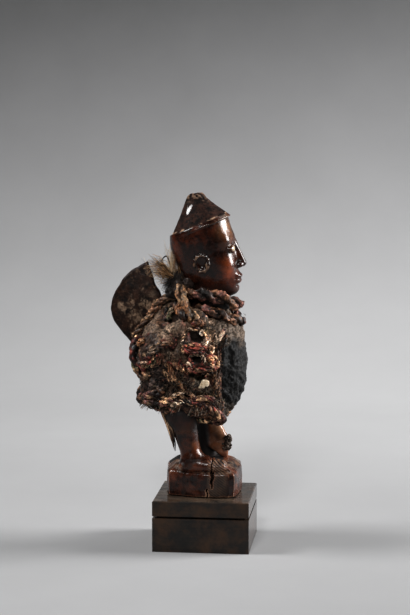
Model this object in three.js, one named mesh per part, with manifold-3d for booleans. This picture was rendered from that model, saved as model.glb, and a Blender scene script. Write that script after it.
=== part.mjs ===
// A small Kongo power figure: a carved wooden man under a pointed cap, wrapped in crusted cloth and
// twisted ropes, with a resin charge on the belly, a gourd plate and tufts behind, on a grooved plinth.
// Millimetres. +X is the way the figure faces, +Y its left, +Z up; the origin is under the plinth.
import * as THREE from 'three';
import { mergeVertices } from 'three/addons/utils/BufferGeometryUtils.js';
import Module from 'manifold-3d';

const wasm = await Module();
wasm.setup();

// Driving dimensions
const GAP = 0.3;
const CLEAR = 1.5;
const FAR_OFF = 1000;
const PLINTH = { side: 77, height: 41, grooveLow: 27.2, groove: 1.8, grooveDepth: 3.6, chamfer: 0.7 };
const BLOCK = { bottom: PLINTH.height + GAP, near: 60.5, nearY: -24, rise: 0.075, chamfer: 1.6 };
const DOME = { x: -2, y: 0.5, height: 4.6, foot: 0.93, top: 0.72 };
const BRIM = { x: -4.5, z: 258.8, tilt: THREE.MathUtils.degToRad(22), long: 24.2, wide: 21 };
const CAP = { height: 21.9, lean: 3.6, inset: 0.6, tip: 6.4, under: 3, belly: 0.02, steep: 0.72, soft: 2 };
const CHIN_Z = 202;
const HAIRLINE_Z = 266;
const THIRD = (HAIRLINE_Z - CHIN_Z) / 3;
const EYE_Z = HAIRLINE_Z - THIRD - 4.6;
const EYE = { x: 22.6, y: 9.2, z: EYE_Z, long: 4.6, tall: 2.7, thick: 2.2, turn: 0.36, sunk: 0.6 };
const EAR = { x: -0.8, y: 19.4, z: 228.6, ring: 5.2, rim: 2.4, wide: 1.08, tall: 0.88, soft: 1.2 };
const NECK = { x: 3.5, long: 16, wide: 11.2, bottom: 190, top: 224, soft: 6 };
const COLLAR = { x: 10, z: 183, radius: 22.5, fall: 0.23, soft: 3 };
const HEM = { drop: 2, lift: 15, front: 12, back: -30, soft: 6 };
const TAIL = { lift: 6, front: -22, back: -46, top: 150, foot: 112 };
const ROPE = { neck: 4.3, back: 3.1, loop: 4.1, arm: 2.9, waist: 3.2, braid: 3.6, cord: 1.1, tie: 1.4 };
const AXIS_X = -14;

// Forms: balls have a middle and radii, limbs two ends and their radii; soft is how wide each blends in
const CAP_TIP = { at: [-7.8, 0, 278.8], radii: [7, 6.2, 4.4] };
const SKULL = [
  { at: [-4, 0, 248], radii: [24.6, 21.6, 37], soft: 1 },
  { at: [-7.5, 0, 222], radii: [11.5, 12, 13], soft: 7 },
];
const FACE_SOFT = 8;
const FACE = [
  { at: [8, 0, 229], radii: [17.6, 16.6, 27], soft: 1 },
  { at: [13.5, 9.5, 226], radii: [10, 8, 11], soft: 5 },
  { at: [20, 0, CHIN_Z + 5.8], radii: [7, 8.5, 6], soft: 6 },
  { at: [19.6, 0, 216.4], radii: [8, 9.5, 8], soft: 5 },
  { from: [17.5, 0, 246.5], to: [15, 11, 246], radii: [5, 5], soft: 4 },
];
const SOCKET = { at: [EYE.x + 4, EYE.y, EYE.z], radii: [5.2, 6.6, 4.2], soft: 2 };
const FEATURES = [
  { at: [EYE.x - 3, EYE.y, EYE.z], radii: [4.4, 5.6, 3.2], soft: 1.2 },
  { from: [23, 0, 243.5], to: [29.4, 0, 228.2], radii: [2.2, 3.3], soft: 3 },
  { at: [27, 3.6, 226.6], radii: [3.4, 2.6, 2.5], soft: 1.5 },
  { at: [25.6, 0, 218], radii: [3.9, 7.2, 2.2], soft: 2 },
  { at: [25.2, 0, 214], radii: [3.7, 6.4, 2.3], soft: 2 },
];
const EAR_DISH = { at: [EAR.x, EAR.y - 1.8, EAR.z], radii: [6, 2.6, 6.8], soft: 2.4 };
const TRUNK = { from: [-14, 0, 114], to: [2, 0, 196], radii: [13, 10] };
const NEAR_LEG = [
  { from: [-18.5, -12.5, 108], to: [-14.6, -13, 93], radii: [12.4, 9.7], soft: 1 },
  { from: [-14.6, -13, 93], to: [-10, -13.5, 75], radii: [9.7, 7.9], soft: 0.1 },
  { at: [-21, -13, 106], radii: [9, 10, 9], soft: 4 },
];
const NEAR_SOLE = { at: [-0.5, -14.6, 65.4], half: [18.8, 7.6, 3.4], round: 3.2 };
const NEAR_INSTEP = { from: [-9, -14, 69.4], to: [13, -14.6, 65.2], radii: [8.3, 4.4], soft: 6 };
const ANKLE_SOFT = 5;
const FAR_LEG_Y = 12;
const FAR_LEG_FLAT = 1.7;
const FAR_LEG = [
  { from: [3, 12, 107], to: [4.4, 12, 95], radii: [7.4, 6], soft: 1 },
  { from: [4.4, 12, 95], to: [6.6, 12, 88], radii: [6, 7.4], soft: 1.5 },
  { from: [6.6, 12, 88], to: [8.9, 12, 81], radii: [7.4, 8.8], soft: 1.5 },
  { from: [8.9, 12, 81], to: [12.2, 12, 74], radii: [8.8, 5], soft: 1.5 },
  { from: [12.2, 12, 74], to: [16.2, 12.5, 66], radii: [5, 1.6], soft: 1.5 },
];
const FAR_CALF = [
  { from: [-3, 20, 104], to: [0, 20, 66], radii: [9, 8], soft: 2.5 },
  { from: [3, 20, 65.5], to: [13, 19, 65], radii: [4.6, 3.6], soft: 0.1 },
];
const CHEST = { at: [-17, 0, 144], half: [32, 27, 38], round: 13 };
const SHOULDERS = [
  { from: [-6, -20, 182], to: [-36, -21, 158], radii: [10.5, 12], soft: 6 },
  { from: [-6, 20, 182], to: [-36, 21, 158], radii: [10.5, 12], soft: 6 },
  { from: [-36, -21, 158], to: [-8, -24, 132], radii: [11, 10], soft: 8 },
  { from: [-26, 0, 184], to: [10, 0, 184], radii: [15, 16], soft: 8 },
];
const SKIRT = { at: [-13, 0, 114], half: [30, 28, 10], round: 9 };
const CHARGE = [
  { at: [9.2, 0, 147.5], radii: [23.6, 20, 45.3], soft: 1 },
  { at: [11, 0, 170], radii: [16.5, 24, 17], soft: 6 },
];
const PACKET = [
  { from: [-5, -24, 168], to: [-5, -35.5, 168], radii: [9, 7.6], soft: 1 },
  { at: [-1, -31, 152], radii: [10, 8, 7.6], soft: 0.1 },
];

const COLOURS = {
  wood: 0x3a1a10, plinth: 0x241c18, cloth: 0x4a3a2c, resin: 0x17161a, gourd: 0x33211a,
  rope: 0x6a3a2c, raffia: 0x9a6a3c, fibre: 0xb09870, hair: 0x14110f, shell: 0xd8c8a4, eye: 0xb8a880,
};

// Distance fields: each returns how far a point is outside a form, and less than 0 inside it
const { abs, min, max, hypot, sin, cos, PI } = Math;
const clamp = (v, low, high) => min(high, max(low, v));

function smooth(low, high, v) {
  const t = clamp((v - low) / (high - low), 0, 1);
  return t * t * (3 - 2 * t);
}

function ellipsoid(p, c, r) {
  const q = [p[0] - c[0], p[1] - c[1], p[2] - c[2]];
  const near = hypot(q[0] / r[0], q[1] / r[1], q[2] / r[2]);
  const slope = hypot(q[0] / r[0] ** 2, q[1] / r[1] ** 2, q[2] / r[2] ** 2);
  return slope < 1e-9 ? -min(...r) : (near * (near - 1)) / slope;
}

function limb(p, a, b, ra, rb) {
  const d = [b[0] - a[0], b[1] - a[1], b[2] - a[2]];
  const q = [p[0] - a[0], p[1] - a[1], p[2] - a[2]];
  const along = (q[0] * d[0] + q[1] * d[1] + q[2] * d[2]) / (d[0] ** 2 + d[1] ** 2 + d[2] ** 2);
  const t = clamp(along, 0, 1);
  return hypot(q[0] - d[0] * t, q[1] - d[1] * t, q[2] - d[2] * t) - (ra + (rb - ra) * t);
}

function pad(p, { at, half, round }) {
  const q = [0, 1, 2].map((i) => abs(p[i] - at[i]) - half[i] + round);
  return hypot(...q.map((v) => max(v, 0))) + min(max(...q), 0) - round;
}

function blend(a, b, k) {
  const h = max(k - abs(a - b), 0) / k;
  return min(a, b) - (h * h * k) / 4;
}

const carve = (a, b, k) => -blend(-a, b, k);
const mirrored = (p) => [p[0], abs(p[1]), p[2]];
const single = (p, { at, from, to, radii }) => (at ? ellipsoid(p, at, radii) : limb(p, from, to, ...radii));
const group = (p, forms, start = FAR_OFF) => forms.reduce((d, f) => blend(d, single(p, f), f.soft), start);

// The head: skull and face under a tilted brim, with a leaning cone for the cap
function brimFrame(p) {
  const [dx, dz] = [p[0] - BRIM.x, p[2] - BRIM.z];
  const [c, s] = [cos(BRIM.tilt), sin(BRIM.tilt)];
  return { u: dx * c + dz * s, v: p[1], w: dz * c - dx * s };
}

function capField(p) {
  const { u, v, w } = brimFrame(p);
  const share = clamp(w / CAP.height, -0.1, 1);
  const a = BRIM.long - CAP.inset;
  const b = BRIM.wide - CAP.inset;
  const shrink = 1 - share * (1 - CAP.tip / a) - CAP.belly * sin(PI * max(share, 0));
  const side = (hypot((u - CAP.lean * share) / a, v / b) - shrink) * b * CAP.steep;
  return blend(max(side, w - CAP.height, -w - CAP.under), single(p, CAP_TIP), CAP.soft);
}

function earField(q) {
  const [dx, dz] = [(q[0] - EAR.x) * EAR.wide, (q[2] - EAR.z) * EAR.tall];
  const ring = hypot(hypot(dx, dz) - EAR.ring, q[1] - EAR.y) - EAR.rim;
  return blend(ring, single(q, EAR_DISH), EAR_DISH.soft);
}

function headField(p) {
  const q = mirrored(p);
  const bare = blend(group(q, SKULL), group(q, FACE), FACE_SOFT);
  const face = group(q, FEATURES, carve(bare, single(q, SOCKET), SOCKET.soft));
  const head = blend(max(face, brimFrame(p).w), earField(q), EAR.soft);
  return min(head, capField(p));
}

// Trunk and limbs
function trunkField(p) {
  const round = hypot((p[0] - NECK.x) / NECK.long, p[1] / NECK.wide) * NECK.wide - NECK.wide;
  return blend(max(round, p[2] - NECK.top, NECK.bottom - p[2]), single(p, TRUNK), NECK.soft);
}

function legField(p) {
  const foot = blend(pad(p, NEAR_SOLE), single(p, NEAR_INSTEP), NEAR_INSTEP.soft);
  const near = blend(group(p, NEAR_LEG), foot, ANKLE_SOFT);
  const flat = [p[0], FAR_LEG_Y + (p[1] - FAR_LEG_Y) * FAR_LEG_FLAT, p[2]];
  return min(near, group(p, FAR_CALF, group(flat, FAR_LEG)));
}

// What is tied round the trunk
function bundleField(p) {
  const rise = TAIL.lift * smooth(TAIL.front, TAIL.back, p[0]) * smooth(TAIL.top, TAIL.foot, p[2]);
  const trunk = group(p, SHOULDERS, pad([p[0], p[1], p[2] - rise], CHEST));
  const level = p[2] + HEM.drop - HEM.lift * smooth(HEM.front, HEM.back, p[0]);
  const cloth = blend(trunk, pad([p[0], p[1], level], SKIRT), HEM.soft);
  const dx = p[0] - COLLAR.x;
  const collar = max(hypot(dx, p[1]) - COLLAR.radius, COLLAR.z - dx * COLLAR.fall - p[2]);
  return carve(cloth, collar, COLLAR.soft);
}

const chargeField = (p) => group(p, CHARGE);
const packetField = (p) => group(p, PACKET);

// Surface nets over a box of cells, whose sizes may differ, with each vertex moved onto the surface
function meshField(field, xs, ys, zs) {
  const [nx, ny, nz] = [xs.length, ys.length, zs.length];
  const at = (i, j, k) => (k * ny + j) * nx + i;
  const values = new Float64Array(nx * ny * nz);
  for (let k = 0; k < nz; k++)
    for (let j = 0; j < ny; j++)
      for (let i = 0; i < nx; i++) values[at(i, j, k)] = field([xs[i], ys[j], zs[k]]) || 1e-9;
  const cellVertex = new Map();
  const positions = [];
  const vertexOf = (i, j, k) => {
    const key = at(i, j, k);
    if (!cellVertex.has(key)) {
      cellVertex.set(key, positions.length / 3);
      positions.push(...surfacePoint(field, cellCentre(values, at, xs, ys, zs, i, j, k), xs[i + 1] - xs[i]));
    }
    return cellVertex.get(key);
  };
  const index = [];
  const quad = (inside, a, b, c, d) => {
    const v = [a, b, c, d].map((cell) => vertexOf(...cell));
    const ring = inside ? v : [v[3], v[2], v[1], v[0]];
    const span = (m, n) => hypot(...[0, 1, 2].map((e) => positions[3 * m + e] - positions[3 * n + e]));
    const short = span(ring[0], ring[2]) <= span(ring[1], ring[3]);
    index.push(...(short ? [ring[0], ring[1], ring[2], ring[0], ring[2], ring[3]]
      : [ring[1], ring[2], ring[3], ring[1], ring[3], ring[0]]));
  };
  for (let k = 1; k < nz - 1; k++)
    for (let j = 1; j < ny - 1; j++)
      for (let i = 1; i < nx - 1; i++) {
        const here = values[at(i, j, k)] < 0;
        if (here !== values[at(i + 1, j, k)] < 0)
          quad(here, [i, j - 1, k - 1], [i, j, k - 1], [i, j, k], [i, j - 1, k]);
        if (here !== values[at(i, j + 1, k)] < 0)
          quad(here, [i - 1, j, k - 1], [i - 1, j, k], [i, j, k], [i, j, k - 1]);
        if (here !== values[at(i, j, k + 1)] < 0)
          quad(here, [i - 1, j - 1, k], [i, j - 1, k], [i, j, k], [i - 1, j, k]);
      }
  const geometry = new THREE.BufferGeometry();
  geometry.setAttribute('position', new THREE.Float32BufferAttribute(positions, 3));
  geometry.setIndex(index);
  return geometry;
}

function cellCentre(values, at, xs, ys, zs, i, j, k) {
  const sum = [0, 0, 0];
  let crossings = 0;
  const corner = (n) => [i + (n & 1), j + ((n >> 1) & 1), k + (n >> 2)];
  for (let n = 0; n < 8; n++)
    for (const bit of [1, 2, 4]) {
      if (n & bit) continue;
      const [a, b] = [corner(n), corner(n | bit)];
      const [va, vb] = [values[at(...a)], values[at(...b)]];
      if (va < 0 === vb < 0) continue;
      const t = va / (va - vb);
      const [pa, pb] = [a, b].map((c) => [xs[c[0]], ys[c[1]], zs[c[2]]]);
      for (let e = 0; e < 3; e++) sum[e] += pa[e] + (pb[e] - pa[e]) * t;
      crossings += 1;
    }
  return sum.map((s) => s / crossings);
}

function surfacePoint(field, point, cell) {
  const EPS = 0.05;
  let p = [...point];
  for (let round = 0; round < 3; round++) {
    const value = field(p);
    const slope = [0, 1, 2].map((e) => {
      const step = [0, 0, 0];
      step[e] = EPS;
      return (field(p.map((v, n) => v + step[n])) - field(p.map((v, n) => v - step[n]))) / (2 * EPS);
    });
    const steep = max(slope[0] ** 2 + slope[1] ** 2 + slope[2] ** 2, 0.05);
    p = p.map((v, e) => v - (value * slope[e]) / steep);
  }
  return p.map((v, e) => point[e] + clamp(v - point[e], -0.45 * cell, 0.45 * cell));
}

// Grid lines from low to high, with a step for each stretch: from, step, to, step, to and so on.
// Each end gets one more line, because the outermost cells make no faces
function lines(start, ...stretches) {
  const made = [start - stretches[0], start];
  for (let n = 0; n < stretches.length; n += 2) {
    const [step, end] = [stretches[n], stretches[n + 1]];
    const from = made[made.length - 1];
    const count = Math.round((end - from) / step);
    for (let i = 1; i <= count; i++) made.push(from + ((end - from) * i) / count);
  }
  made.push(made[made.length - 1] + stretches[stretches.length - 2]);
  return made;
}

// Joining and cutting of closed meshes
function toSolid(geometry) {
  const bare = geometry.clone();
  for (const name of Object.keys(bare.attributes)) if (name !== 'position') bare.deleteAttribute(name);
  const merged = bare.index && !geometry.attributes.uv ? bare : mergeVertices(bare, 1e-4);
  const vertProperties = merged.attributes.position.array;
  const triVerts = new Uint32Array(merged.index.array);
  return new wasm.Manifold(new wasm.Mesh({ numProp: 3, vertProperties, triVerts }));
}

function toGeometry(solid) {
  const mesh = solid.getMesh();
  const geometry = new THREE.BufferGeometry();
  geometry.setAttribute('position', new THREE.BufferAttribute(mesh.vertProperties.slice(), 3));
  geometry.setIndex(new THREE.BufferAttribute(mesh.triVerts.slice(), 1));
  return geometry;
}

const joined = (geometries) => toGeometry(geometries.map(toSolid).reduce((a, b) => a.add(b)));

// The geometry grown by a gap, each vertex along its own normal
const SWELL = 1.7;

function swell(geometry, gap = SWELL * GAP) {
  const merged = toGeometry(toSolid(geometry));
  merged.computeVertexNormals();
  const [position, normal] = [merged.attributes.position, merged.attributes.normal];
  for (let i = 0; i < position.count; i++)
    position.setXYZ(i, position.getX(i) + normal.getX(i) * gap, position.getY(i) + normal.getY(i) * gap,
      position.getZ(i) + normal.getZ(i) * gap);
  merged.deleteAttribute('normal');
  return merged;
}

// A mesh as plain lists: points, faces and the faces round each point
function toLists(geometry) {
  const { attributes: { position }, index } = geometry;
  const pointAt = (_, i) => new THREE.Vector3().fromBufferAttribute(position, i);
  const points = Array.from({ length: position.count }, pointAt);
  const faceAt = (_, f) => [0, 1, 2].map((n) => index.getX(3 * f + n));
  const faces = Array.from({ length: index.count / 3 }, faceAt);
  const around = points.map(() => new Set());
  faces.forEach((face, f) => face.forEach((v) => around[v].add(f)));
  return { points, faces, around };
}

function fromLists(points, faces) {
  const number = new Map();
  const positions = [];
  const index = faces.flatMap((face) => face.map((v) => {
    if (!number.has(v)) {
      number.set(v, number.size);
      positions.push(...points[v].toArray());
    }
    return number.get(v);
  }));
  const geometry = new THREE.BufferGeometry();
  geometry.setAttribute('position', new THREE.Float32BufferAttribute(positions, 3));
  geometry.setIndex(index);
  return geometry;
}

// The body with the most faces; the crumbs and sealed bubbles that a cut leaves are dropped
function largestBody({ points, faces }) {
  const seen = new Set();
  let best = [];
  const sides = (face) => face.map((v, n) => [v, face[(n + 1) % 3]]);
  const owner = new Map(faces.flatMap((face, f) => sides(face).map(([a, b]) => [`${a},${b}`, f])));
  faces.forEach((_, start) => {
    if (seen.has(start)) return;
    seen.add(start);
    const body = [start];
    for (let n = 0; n < body.length; n++)
      for (const [a, b] of sides(faces[body[n]])) {
        const f = owner.get(`${b},${a}`);
        if (seen.has(f)) continue;
        seen.add(f);
        body.push(f);
      }
    if (body.length > best.length) best = body;
  });
  return fromLists(points, best.map((f) => faces[f]));
}

const normalOf = (a, b, c) => b.clone().sub(a).cross(c.clone().sub(a));

// Merges the pairs of neighbouring points that matter least to the form, cheapest first, until the count
// of faces is reached or the next merger would move the surface by more than the error
function lighten(geometry, count, error) {
  const SHARE = 0.12;
  const ROUNDS = 90;
  const LEAST_AREA = 1e-4;
  const LEAST_TURN = 0.3;
  const EVENNESS = 1e-7;
  let share = SHARE;
  const { points, faces, around } = toLists(toGeometry(toSolid(geometry)));
  const planes = points.map(() => []);
  faces.forEach(([a, b, c]) => {
    const normal = normalOf(points[a], points[b], points[c]);
    if (normal.length() < 1e-6) return;
    normal.normalize();
    const plane = [normal.x, normal.y, normal.z, -normal.dot(points[a])];
    for (const v of [a, b, c]) planes[v].push(plane);
  });
  const form = planes.map((list) => {
    const sums = new Float64Array(16);
    for (const plane of list) for (let n = 0; n < 16; n++) sums[n] += plane[n >> 2] * plane[n & 3];
    return sums;
  });
  const costAt = (a, b, p) => {
    const h = [p.x, p.y, p.z, 1];
    let cost = 0;
    for (let n = 0; n < 16; n++) cost += (form[a][n] + form[b][n]) * h[n >> 2] * h[n & 3];
    return max(cost, 0) + EVENNESS * points[a].distanceToSquared(points[b]);
  };
  const ringOf = (v) => new Set([...around[v]].flatMap((f) => faces[f]).filter((w) => w !== v));
  const folds = (v, other, p) => [...around[v]].some((f) => {
    if (faces[f].includes(other)) return false;
    const before = faces[f].map((w) => points[w]);
    const after = faces[f].map((w) => (w === v ? p : points[w]));
    const [m, n] = [normalOf(...before), normalOf(...after)];
    const turned = m.dot(n) < LEAST_TURN * m.length() * n.length();
    return n.length() < LEAST_AREA || (m.length() > LEAST_AREA && turned);
  });
  let live = faces.length;
  for (let round = 0; round < ROUNDS && live > count; round++) {
    const pairs = [];
    around.forEach((set, a) => {
      if (set.size)
        for (const b of ringOf(a))
          if (a < b) {
            const [pa, pb] = [points[a], points[b]];
            const places = [pa, pb, pa.clone().lerp(pb, 0.5)];
            const options = places.map((p) => ({ a, b, p, cost: costAt(a, b, p) }));
            pairs.push(options.reduce((m, n) => (n.cost < m.cost ? n : m)));
          }
    });
    pairs.sort((m, n) => m.cost - n.cost);
    const limit = pairs[min(pairs.length - 1, Math.floor(pairs.length * share))].cost;
    const touched = new Set();
    let merged = 0;
    for (const { a, b, p, cost } of pairs) {
      if (cost > limit || cost > error * error || live <= count) break;
      if (touched.has(a) || touched.has(b)) continue;
      const [ringA, ringB] = [ringOf(a), ringOf(b)];
      const shared = [...ringA].filter((v) => ringB.has(v)).length;
      if (shared !== 2 || folds(a, b, p) || folds(b, a, p)) continue;
      for (const v of [...ringA, ...ringB]) touched.add(v);
      for (const f of [...around[b]]) {
        if (faces[f].includes(a)) {
          for (const v of faces[f]) around[v].delete(f);
          live -= 1;
          continue;
        }
        faces[f] = faces[f].map((v) => (v === b ? a : v));
        around[a].add(f);
      }
      around[b].clear();
      points[a] = p;
      form[a] = form[a].map((v, n) => v + form[b][n]);
      merged += 1;
    }
    if (!merged && share >= 1) break;
    share = merged ? SHARE : share * 2;
  }
  const kept = new Set(around.flatMap((set) => [...set]));
  return fromLists(points, [...kept].map((f) => faces[f]));
}

// Points that lie on one another without being one point draw back a little, each along its own normal
function partTouching(geometry) {
  const [CLOSE, BACK] = [0.004, 0.03];
  const { points, faces, around } = toLists(geometry);
  const places = new Map();
  points.forEach((p, v) => {
    const key = p.toArray().map((c) => Math.round(c / CLOSE)).join();
    places.set(key, [...(places.get(key) || []), v]);
  });
  for (const group of places.values())
    if (group.length > 1)
      for (const v of group) {
        const normal = new THREE.Vector3();
        for (const f of around[v]) normal.add(normalOf(...faces[f].map((w) => points[w])).normalize());
        points[v] = points[v].clone().addScaledVector(normal.normalize(), -BACK);
      }
  return fromLists(points, faces);
}

// A piece less the room that its neighbours take
const FINE = 0.15;

function clearOf(geometry, rooms, error = FINE, count = 0) {
  const cut = rooms.reduce((solid, room) => solid.subtract(room), toSolid(geometry));
  const light = lighten(largestBody(toLists(toGeometry(cut))), count, error);
  return partTouching(largestBody(toLists(light)));
}

// The room that a piece takes, with the gap round it
const roomFor = (geometry) => toSolid(swell(geometry)).add(toSolid(geometry));

// Ropes: a two-lobed section that turns as it runs, laid on whatever is under it
const LOBES = [1, 0.86, 0.86, 1, 0.86, 0.86];
const EVEN = [1, 1, 1, 1, 1, 1];
const THIN = [1, 1, 1, 1];
const HEX_OUT = 1.1;
const ROOM_GAP = 1.3 * GAP;
const TWIST = { step: 1.45, turn: 42, lobes: LOBES, taper: 0.7 };
const ROOM_TWIST = { step: 1.4, turn: 0, lobes: EVEN, taper: 1 };

function rope(points, radius, style = {}) {
  const { step, turn, lobes, taper } = { ...TWIST, ...style };
  const curve = new THREE.CatmullRomCurve3(points.map((p) => new THREE.Vector3(...p)), false, 'centripetal');
  const count = max(4, Math.round(curve.getLength() / (radius * step)));
  const frames = curve.computeFrenetFrames(count, false);
  const positions = [];
  for (let n = 0; n <= count; n++) {
    const centre = curve.getPointAt(n / count);
    const size = radius * (n === 0 || n === count ? taper : 1);
    lobes.forEach((lobe, m) => {
      const angle = (m / lobes.length) * 2 * PI + THREE.MathUtils.degToRad(turn * n);
      const out = frames.normals[n].clone().multiplyScalar(cos(angle) * size * lobe);
      out.addScaledVector(frames.binormals[n], sin(angle) * size * lobe);
      positions.push(...centre.clone().add(out).toArray());
    });
  }
  const sides = lobes.length;
  const index = [];
  for (let n = 0; n < count; n++)
    for (let m = 0; m < sides; m++) {
      const [a, b] = [n * sides + m, n * sides + ((m + 1) % sides)];
      index.push(a, b, b + sides, a, b + sides, a + sides);
    }
  const last = count * sides;
  for (let m = 1; m < sides - 1; m++) index.push(0, m + 1, m, last, last + m, last + m + 1);
  const geometry = new THREE.BufferGeometry();
  geometry.setAttribute('position', new THREE.Float32BufferAttribute(positions, 3));
  geometry.setIndex(index);
  return geometry;
}

// Moves each point in from outside, towards the figure's axis, until it lies at the lift from the surface
function layOn(surface, points, lift) {
  const REACH = 90;
  const STRIDE = 0.25;
  return points.map(([degrees, z]) => {
    const angle = THREE.MathUtils.degToRad(degrees);
    const place = (r) => [AXIS_X + cos(angle) * r, sin(angle) * r, z];
    let r = REACH;
    while (r > 1 && surface(place(r)) > lift) r -= STRIDE;
    return place(r);
  });
}

function alongRoute(points, radius) {
  return (p) => min(...points.slice(1).map((b, n) => limb(p, points[n], b, radius, radius)));
}

// Each rope's route: degrees round the axis (0 front, -90 the figure's right) and height, or plain points
const NECK_TURN = { turns: 1.88, x: 4.7, long: 22.5, wide: 16.4, z: 204.4, ridgeX: -4, fall: 0.0105,
  drop: 13.2 };
const NECK_ROUTE = Array.from({ length: 25 }, (_, n) => {
  const turns = (n / 24) * NECK_TURN.turns;
  const x = NECK_TURN.x + NECK_TURN.long * cos(-2 * PI * turns);
  const z = NECK_TURN.z - NECK_TURN.fall * (x - NECK_TURN.ridgeX) ** 2;
  return [x, NECK_TURN.wide * sin(-2 * PI * turns), z - NECK_TURN.drop * smooth(0.5, 1, turns)];
});
const BRAID_ROUTE = [[-17.5, -14, 212], [-17.5, -18.5, 207], [-16.5, -22, 202], [-13, -25, 197],
  [-9.5, -27.5, 192.5], [-6.5, -30, 188], [-5, -31.5, 184]];
const BACK_ROUTE = [[-22, -9, 203], [-33, -8, 198.5], [-42, -7, 188], [-50, -7.5, 177], [-57, -9, 166]];
const LOOP_ROUTE = [[-45, -8, 165], [-53.5, -13, 164.5], [-55.5, -19, 157], [-50.5, -22, 149],
  [-43, -26, 146]];
const LOOP_LOW_ROUTE = [[-53, -8, 151], [-53.5, -15, 146], [-48.5, -21, 139.5], [-41, -26, 139]];
const ARM_ROUTE = [[-142, 146], [-133, 153], [-123, 160], [-112, 166], [-101, 168]];
const WAIST_ROUTE = [[-150, 117], [-128, 119.5], [-108, 121.5], [-88, 121], [-66, 118.5], [-46, 110],
  [-30, 103], [-10, 100.5], [12, 100.5], [34, 103], [56, 112], [80, 118], [104, 119], [128, 118], [152, 117],
  [176, 117], [196, 118], [214, 121.5], [230, 126], [246, 129]];
const KNOB_ROUTE = [[-43, -13, 126], [-49, -15, 126.5], [-51.5, -16, 121.5], [-47.5, -16, 116.5]];
const TIE_ROUTE = [[-118, 147], [-108, 138], [-99, 129], [-84, 121.5], [-66, 112]];
const SIDE_ROUTE = [[-34, 174], [-37, 160], [-38, 145], [-38, 130], [-38, 118], [-40, 110]];
const FAR_ROUTE = [[150, 176], [132, 170], [112, 163], [92, 156], [70, 149], [50, 143]];

// Solids
function plinthGeometry() {
  const half = PLINTH.side / 2;
  const { height, grooveLow, groove, grooveDepth, chamfer } = PLINTH;
  const profile = [[0, 0], [half, 0], [half, grooveLow], [half - grooveDepth, grooveLow],
    [half - grooveDepth, grooveLow + groove], [half, grooveLow + groove], [half, height - chamfer],
    [half - chamfer, height], [0, height]];
  const corner = Math.SQRT2;
  const lathe = new THREE.LatheGeometry(profile.map(([r, z]) => new THREE.Vector2(r * corner, z)), 4, PI / 4);
  return lathe.rotateX(PI / 2);
}

function blockPlan() {
  const plan = new THREE.Shape();
  plan.moveTo(-30, -12);
  plan.quadraticCurveTo(-27, -18, -14, -21);
  plan.quadraticCurveTo(0, -24.5, 12, -24);
  plan.lineTo(21, -23.5);
  plan.quadraticCurveTo(25.5, -22.5, 26.5, -17);
  plan.lineTo(29, 9);
  plan.quadraticCurveTo(28.5, 19, 18, 26);
  plan.lineTo(-22, 25);
  plan.quadraticCurveTo(-32, 24, -32.5, 12);
  plan.closePath();
  return plan;
}

// The block's top rises towards the far side
function slanted(geometry) {
  const { bottom, near, nearY, rise } = BLOCK;
  const position = geometry.attributes.position;
  for (let i = 0; i < position.count; i++) {
    const share = min(1, (position.getZ(i) - bottom) / (near - bottom));
    position.setZ(i, position.getZ(i) + share * rise * (position.getY(i) - nearY));
  }
  return geometry;
}

// The block and the low dome that the feet stand on, which narrows from its foot to its top
function blockGeometries() {
  const { bottom, near, chamfer } = BLOCK;
  const body = new THREE.ExtrudeGeometry(blockPlan(), { depth: near - bottom - 2 * chamfer, curveSegments: 5,
    bevelSegments: 1, bevelThickness: chamfer, bevelSize: chamfer, bevelOffset: -chamfer });
  body.translate(0, 0, bottom + chamfer);
  const style = { depth: 2 * DOME.height, steps: 2, curveSegments: 3, bevelEnabled: false };
  const dome = new THREE.ExtrudeGeometry(blockPlan(), style);
  const position = dome.attributes.position;
  for (let i = 0; i < position.count; i++) {
    const size = position.getZ(i) > 1.5 * DOME.height ? DOME.top : DOME.foot;
    const [x, y] = [position.getX(i) - DOME.x, position.getY(i) - DOME.y];
    position.setXY(i, DOME.x + x * size, DOME.y + y * size);
  }
  dome.translate(0, 0, near - DOME.height);
  return [body, dome].map(slanted);
}

function figureGeometry() {
  const head = meshField(headField, lines(-32, 3.4, 16, 2.2, 36), lines(-26, 2.6, -13, 2.1, 13, 2.6, 26),
    lines(196, 2.6, 210, 1.9, 250, 3.4, 288));
  const trunk = meshField(trunkField, lines(-42, 6, 30), lines(-30, 6, 30), lines(90, 8, 234));
  const legs = meshField(legField, lines(-40, 3.4, 28), lines(-32, 3.4, 34), lines(54, 3.2, 86, 4.4, 134));
  const wood = [lighten(head, 2450, 0.3), lighten(trunk, 140, 2), lighten(legs, 820, 0.4)];
  return joined([...wood, ...blockGeometries()]);
}

function eyeGeometry(side) {
  const lens = new THREE.SphereGeometry(1, 10, 6);
  lens.scale(EYE.thick, EYE.long, EYE.tall);
  return lens.rotateZ(side * EYE.turn).translate(EYE.x - EYE.sunk, side * EYE.y, EYE.z);
}

function plateGeometry() {
  const THICK = 3.4;
  const MIDDLE = { x: -56, z: 192 };
  const DISH = 0.0035;
  const outline = new THREE.Shape();
  outline.moveTo(-46.3, 228);
  outline.quadraticCurveTo(-62, 220, -71, 206);
  outline.quadraticCurveTo(-78.5, 194.5, -75.5, 184);
  outline.quadraticCurveTo(-72, 177, -62.7, 166.5);
  outline.lineTo(-53, 155);
  outline.lineTo(-37, 160);
  outline.lineTo(-33, 196);
  outline.quadraticCurveTo(-40, 206, -43, 217);
  outline.closePath();
  const style = { depth: THICK, curveSegments: 7, bevelEnabled: false };
  const geometry = new THREE.ExtrudeGeometry(outline, style);
  geometry.rotateX(PI / 2).translate(0, THICK / 2, 0);
  const position = geometry.attributes.position;
  for (let i = 0; i < position.count; i++) {
    const [x, z] = [position.getX(i) - MIDDLE.x, position.getZ(i) - MIDDLE.z];
    position.setY(i, position.getY(i) + (x * x + z * z) * DISH);
  }
  return geometry;
}

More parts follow.
